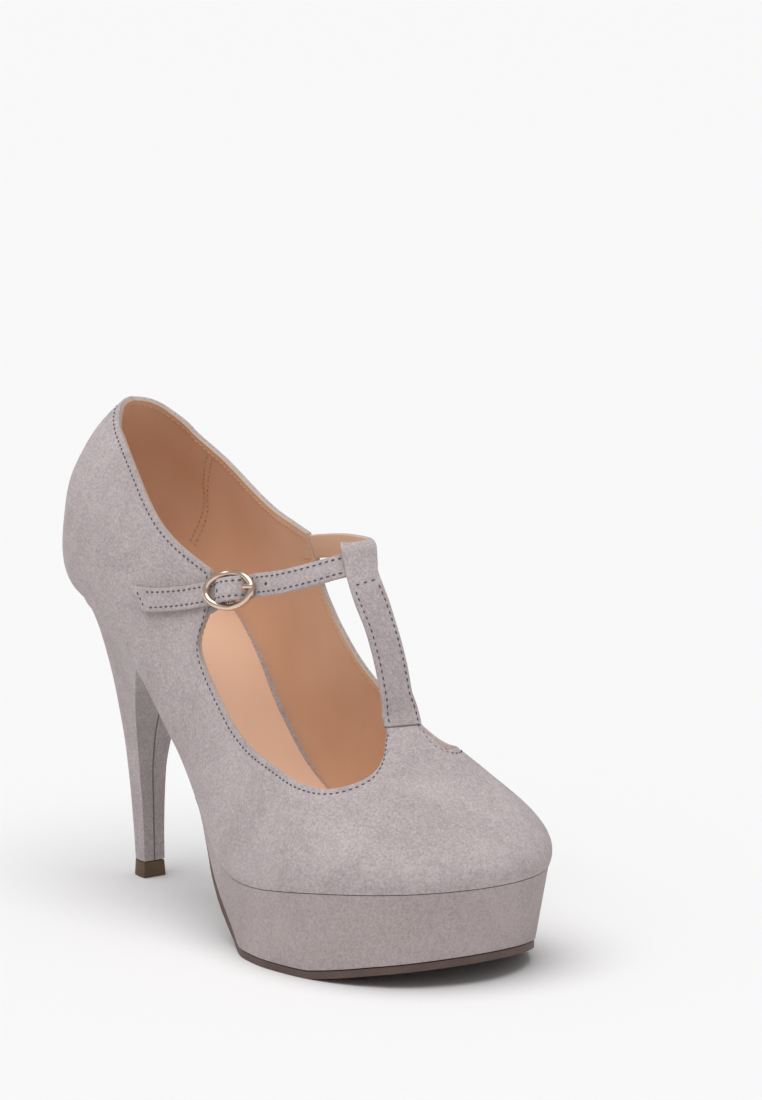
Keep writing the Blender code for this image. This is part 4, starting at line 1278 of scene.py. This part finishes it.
# A fine dark line of painted shadow on the bar, under the tab's cut edge and between its two ends
TAB_FACING = np.array([0.777, -0.6, 0.191])
TAB_SHADOW_UP = 0.1
TAB_SHADOW_DEEP = 7
tab_end, far_tab_end = skin(*OUTER_SCOOP[-1][:2], OUTER), skin(*INNER_SCOOP[-1][:2], INNER)
tab_across = unit(np.cross(TAB_FACING, far_tab_end - tab_end))
tab_shadow_at = (tab_end + far_tab_end) / 2 + tab_across * TAB_SHADOW_UP - TAB_FACING * TAB_SHADOW_DEEP
tab_shadow_line = {
    "At": tuple((tab_shadow_at - TREAD_SPOT) * MM),
    "Across": tuple(tab_across),
    "Toward": tuple(TAB_FACING),
}
tbar_suede = suede_finish("tbar_suede", SUEDE, tab_shadow_line)
tbar = strap_body("t_bar_band", tbar_band, TBAR_THICK, 0.45, tbar_suede, tan_lining, TBAR_OUT)
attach(tbar, "root")
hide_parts("t_bar")

# Its stitches run up both edges and across the bar just under the loop
cross_row = LOOP_ROW - 1
bar_rows = list(range(2 * SPAN_POINTS - 4, cross_row))
tbar_seam = tbar_band.width[bar_rows] / 2 - BAND_SEAM
cross_at = np.linspace(-tbar_seam[-1], tbar_seam[-1], 9)
cross_spots = np.array([band_spot(tbar_band, cross_row, a, TBAR_OUT * TBAR_THICK / 2) for a in cross_at])
cross_up = np.repeat(tbar_band.face[cross_row][None] * TBAR_OUT, len(cross_at), axis=0)
sewn(
    "t_bar_stitches",
    [
        band_row(tbar_band, bar_rows, tbar_seam, TBAR_THICK, TBAR_OUT),
        band_row(tbar_band, bar_rows, -tbar_seam, TBAR_THICK, TBAR_OUT),
        stitch_row(cross_spots, cross_up, pitch=2.4),
    ],
    slate_thread,
)

# The buckle tab: a short length of grey woven elastic, sewn inside the outer ear and wrapped round
# the buckle's bar.
TAB_WIDTH = 8.0
TAB_THICK = 0.8
BAR_WIRE = 0.7
TAB_TUCK = [WallRow(5.85, 0.415), WallRow(6.20, 0.440), WallRow(6.50, 0.463)]
TAB_OFF = SUEDE_THICK
WRAP = BAR_WIRE + 0.45 + TAB_THICK / 2
TAB_LOOP = [
    BuckleRow(-3.0, 0.0, -WRAP),
    BuckleRow(0.0, 0.0, -WRAP),
    BuckleRow(WRAP, 0.0, 0.0),
    BuckleRow(0.0, 0.0, WRAP),
    BuckleRow(-WRAP, 0.0, 0.4),
    BuckleRow(-3.2, 0.0, 0.0),
]
webbing_group = finish_group("elastic_webbing", (0.4, 0.38, 0.38), (0.25, 0.23, 0.23))
webbing, _, _, webbing_at = webbing_group
cords = texture(webbing, "ShaderNodeTexWave", webbing_at, Scale=420.0, Distortion=1.5).outputs["Fac"]
wired(webbing_group, cords, cords)
ELASTIC = {"Light": (0.42, 0.38, 0.38), "Dark": (0.27, 0.24, 0.245)}
grey_elastic = finish("grey_elastic", webbing, ELASTIC, 0.8, 0.4, 0.2)
tab_rows = [on_wall(*row, OUTER, -TAB_OFF) for row in TAB_TUCK]
tab_rows += [(at_buckle(*row), ACROSS) for row in TAB_LOOP]
tab_band = band_line(tab_rows, TAB_WIDTH)
tab = strap_body("elastic_tab", tab_band, TAB_THICK, 0.3, grey_elastic, grey_elastic, 1.0)
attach(tab, "root")
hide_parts("buckle_tab")

# The buckle: an oval of cast wire, lifted at both ends over the strap, with a straight bar across it,
# polished and plated in pale gold.
RING_LONG = 9.7
RING_HIGH = 5.7
RIM_LIFT = 1.3
LIFT_SPAN = 0.35
WIRE = 1.15
PRONG_WIRE = 0.55
PRONG_WIDE = 0.85
WIRE_SIDES = 18
RING_STEPS = 120
plating_group = finish_group("plated_gold", (0.9, 0.75, 0.55), (0.8, 0.65, 0.45))
plating, _, _, plating_at = plating_group
smear = texture(plating, "ShaderNodeTexNoise", plating_at, Scale=300.0, Detail=3.0).outputs["Fac"]
scratch = texture(plating, "ShaderNodeTexNoise", plating_at, Scale=3000.0, Detail=2.0).outputs["Fac"]
wired(plating_group, smear, scratch, between(plating, smear, -0.6, 4.5))
GOLD = {"Light": (0.84, 0.68, 0.55), "Dark": (0.66, 0.50, 0.39)}
pale_gold = finish("pale_gold", plating, GOLD, None, 0.05, 0.05, Metallic=1.0)
around = np.linspace(0, 2 * math.pi, WIRE_SIDES, endpoint=False)
ring_rows = []
for a in np.linspace(0, 2 * math.pi, RING_STEPS, endpoint=False):
    lift = math.cos(a) ** 2 / (math.cos(a) ** 2 + LIFT_SPAN**2) * (1 + LIFT_SPAN**2)
    spot = at_buckle(RING_LONG * math.cos(a), RING_HIGH * math.sin(a), RIM_LIFT * lift)
    radial = unit(ALONG * math.cos(a) * RING_HIGH + ACROSS * math.sin(a) * RING_LONG)
    ring_rows.append([spot + WIRE * (radial * math.cos(b) + FACE * math.sin(b)) for b in around])
bar_rings = []
for across in np.linspace(-RING_HIGH, RING_HIGH, 5):
    bar_rings.append([at_buckle(BAR_WIRE * math.cos(b), across, BAR_WIRE * math.sin(b)) for b in around])
buckle_points = [point for row in ring_rows + bar_rings for point in row]
buckle_faces = []
for k in range(RING_STEPS + len(bar_rings) - 1):
    after = (k + 1) % RING_STEPS if k < RING_STEPS else k + 1
    a, b = k * WIRE_SIDES, after * WIRE_SIDES
    for i in range(WIRE_SIDES):
        j = (i + 1) % WIRE_SIDES
        buckle_faces.append((a + i, a + j, b + j, b + i))
bar_first = RING_STEPS * WIRE_SIDES
bar_last = (RING_STEPS + len(bar_rings) - 1) * WIRE_SIDES
buckle_faces.append(tuple(range(bar_first, bar_first + WIRE_SIDES)))
buckle_faces.append(tuple(range(bar_last, bar_last + WIRE_SIDES)))
buckle = sheet_mesh("buckle_oval", buckle_points, buckle_faces)
buckle.data.materials.append(pale_gold)
smooth(buckle, 60)
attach(buckle, "root")
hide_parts("buckle_frame")

# The prong: a bent pin of the same plated wire, flattened, that comes up through a hole in the strap
# and rests on the buckle's front rim.
PRONG = [
    BuckleRow(HOLE_AT, 0.7, -1.2),
    BuckleRow(HOLE_AT, 0.7, 1.2),
    BuckleRow(HOLE_AT + 0.7, 0.7, 2.7),
    BuckleRow(RING_LONG, 0.8, RIM_LIFT + WIRE + PRONG_WIRE + 0.1),
    BuckleRow(RING_LONG + 1.6, 0.9, RIM_LIFT + WIRE + PRONG_WIRE - 0.3),
]
prong_gold = finish("prong_gold", plating, GOLD, None, 0.05, 0.05, Metallic=1.0)
prong_path = curve(PRONG, 8)
prong_rings = []
for spot, (run, _, climb) in zip(prong_path, np.gradient(prong_path, axis=0)):
    lead = (FACE * run - ALONG * climb) / math.hypot(run, climb)
    flat = [lead * PRONG_WIRE * math.cos(b) + ACROSS * PRONG_WIDE * math.sin(b) for b in around]
    prong_rings.append([at_buckle(*spot) + step for step in flat])
prong = loft("prong_pin", prong_rings, prong_gold, 60)
rounded(prong, 0.2, 2, 60, 60)
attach(prong, "root")
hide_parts("buckle_prong")

# The floor: a plain pale studio sheet under the shoe.
bpy.ops.object.select_all(action="DESELECT")
bpy.ops.mesh.primitive_plane_add(size=30.0, location=(0, 0, 0))
floor = bpy.context.active_object
floor.name = "studio_floor"
paper = bpy.data.materials.new("pale_paper")
paper.use_nodes = True
paper_shader = paper.node_tree.nodes["Principled BSDF"]
paper_shader.inputs["Base Color"].default_value = (0.87, 0.865, 0.865, 1.0)
paper_shader.inputs["Roughness"].default_value = 0.9
paper_shader.inputs["Specular IOR Level"].default_value = 0.1
floor.data.materials.append(paper)

# The camera stands in front of the outer side, low and far back on a long lens.
CAMERA_AT = (2323.85, -1673.02, 665.04)
CAMERA_RIGHT = (0.6119, 0.79093, -0.00263)
CAMERA_UP = (-0.14924, 0.11873, 0.98165)
CAMERA_BACK = (0.77672, -0.60028, 0.19069)
LENS_PIXELS = 8479.37
PHOTO_HIGH = 1100
SENSOR = 36.0
lens = bpy.data.cameras.new("long_lens")
lens.sensor_fit = "VERTICAL"
lens.sensor_height = SENSOR
lens.sensor_width = SENSOR
lens.lens = LENS_PIXELS * SENSOR / PHOTO_HIGH
lens.clip_end = 60.0
camera = bpy.data.objects.new("camera", lens)
bpy.context.scene.collection.objects.link(camera)
turned = Matrix((CAMERA_RIGHT, CAMERA_UP, CAMERA_BACK)).transposed().to_4x4()
turned.translation = Vector((np.array(CAMERA_AT) - TREAD_SPOT) * MM)
camera.matrix_world = turned
bpy.context.scene.camera = camera

# Soft studio light: a pale room and one broad, even light from high on the left.
room = bpy.data.worlds.new("studio")
room.use_nodes = True
room.node_tree.nodes["Background"].inputs["Color"].default_value = (1.0, 1.0, 1.0, 1.0)
room.node_tree.nodes["Background"].inputs["Strength"].default_value = 0.42
bpy.context.scene.world = room
bpy.context.scene.view_settings.view_transform = "Standard"
OVERHEAD_FROM = (0.06, -0.22, 1.0)
overhead = bpy.data.lights.new("overhead_light", "SUN")
overhead.energy = 2.2
overhead.angle = math.radians(65)
overhead_light = bpy.data.objects.new("overhead_light", overhead)
overhead_light.rotation_euler = Vector(OVERHEAD_FROM).to_track_quat("Z", "Y").to_euler()
bpy.context.scene.collection.objects.link(overhead_light)
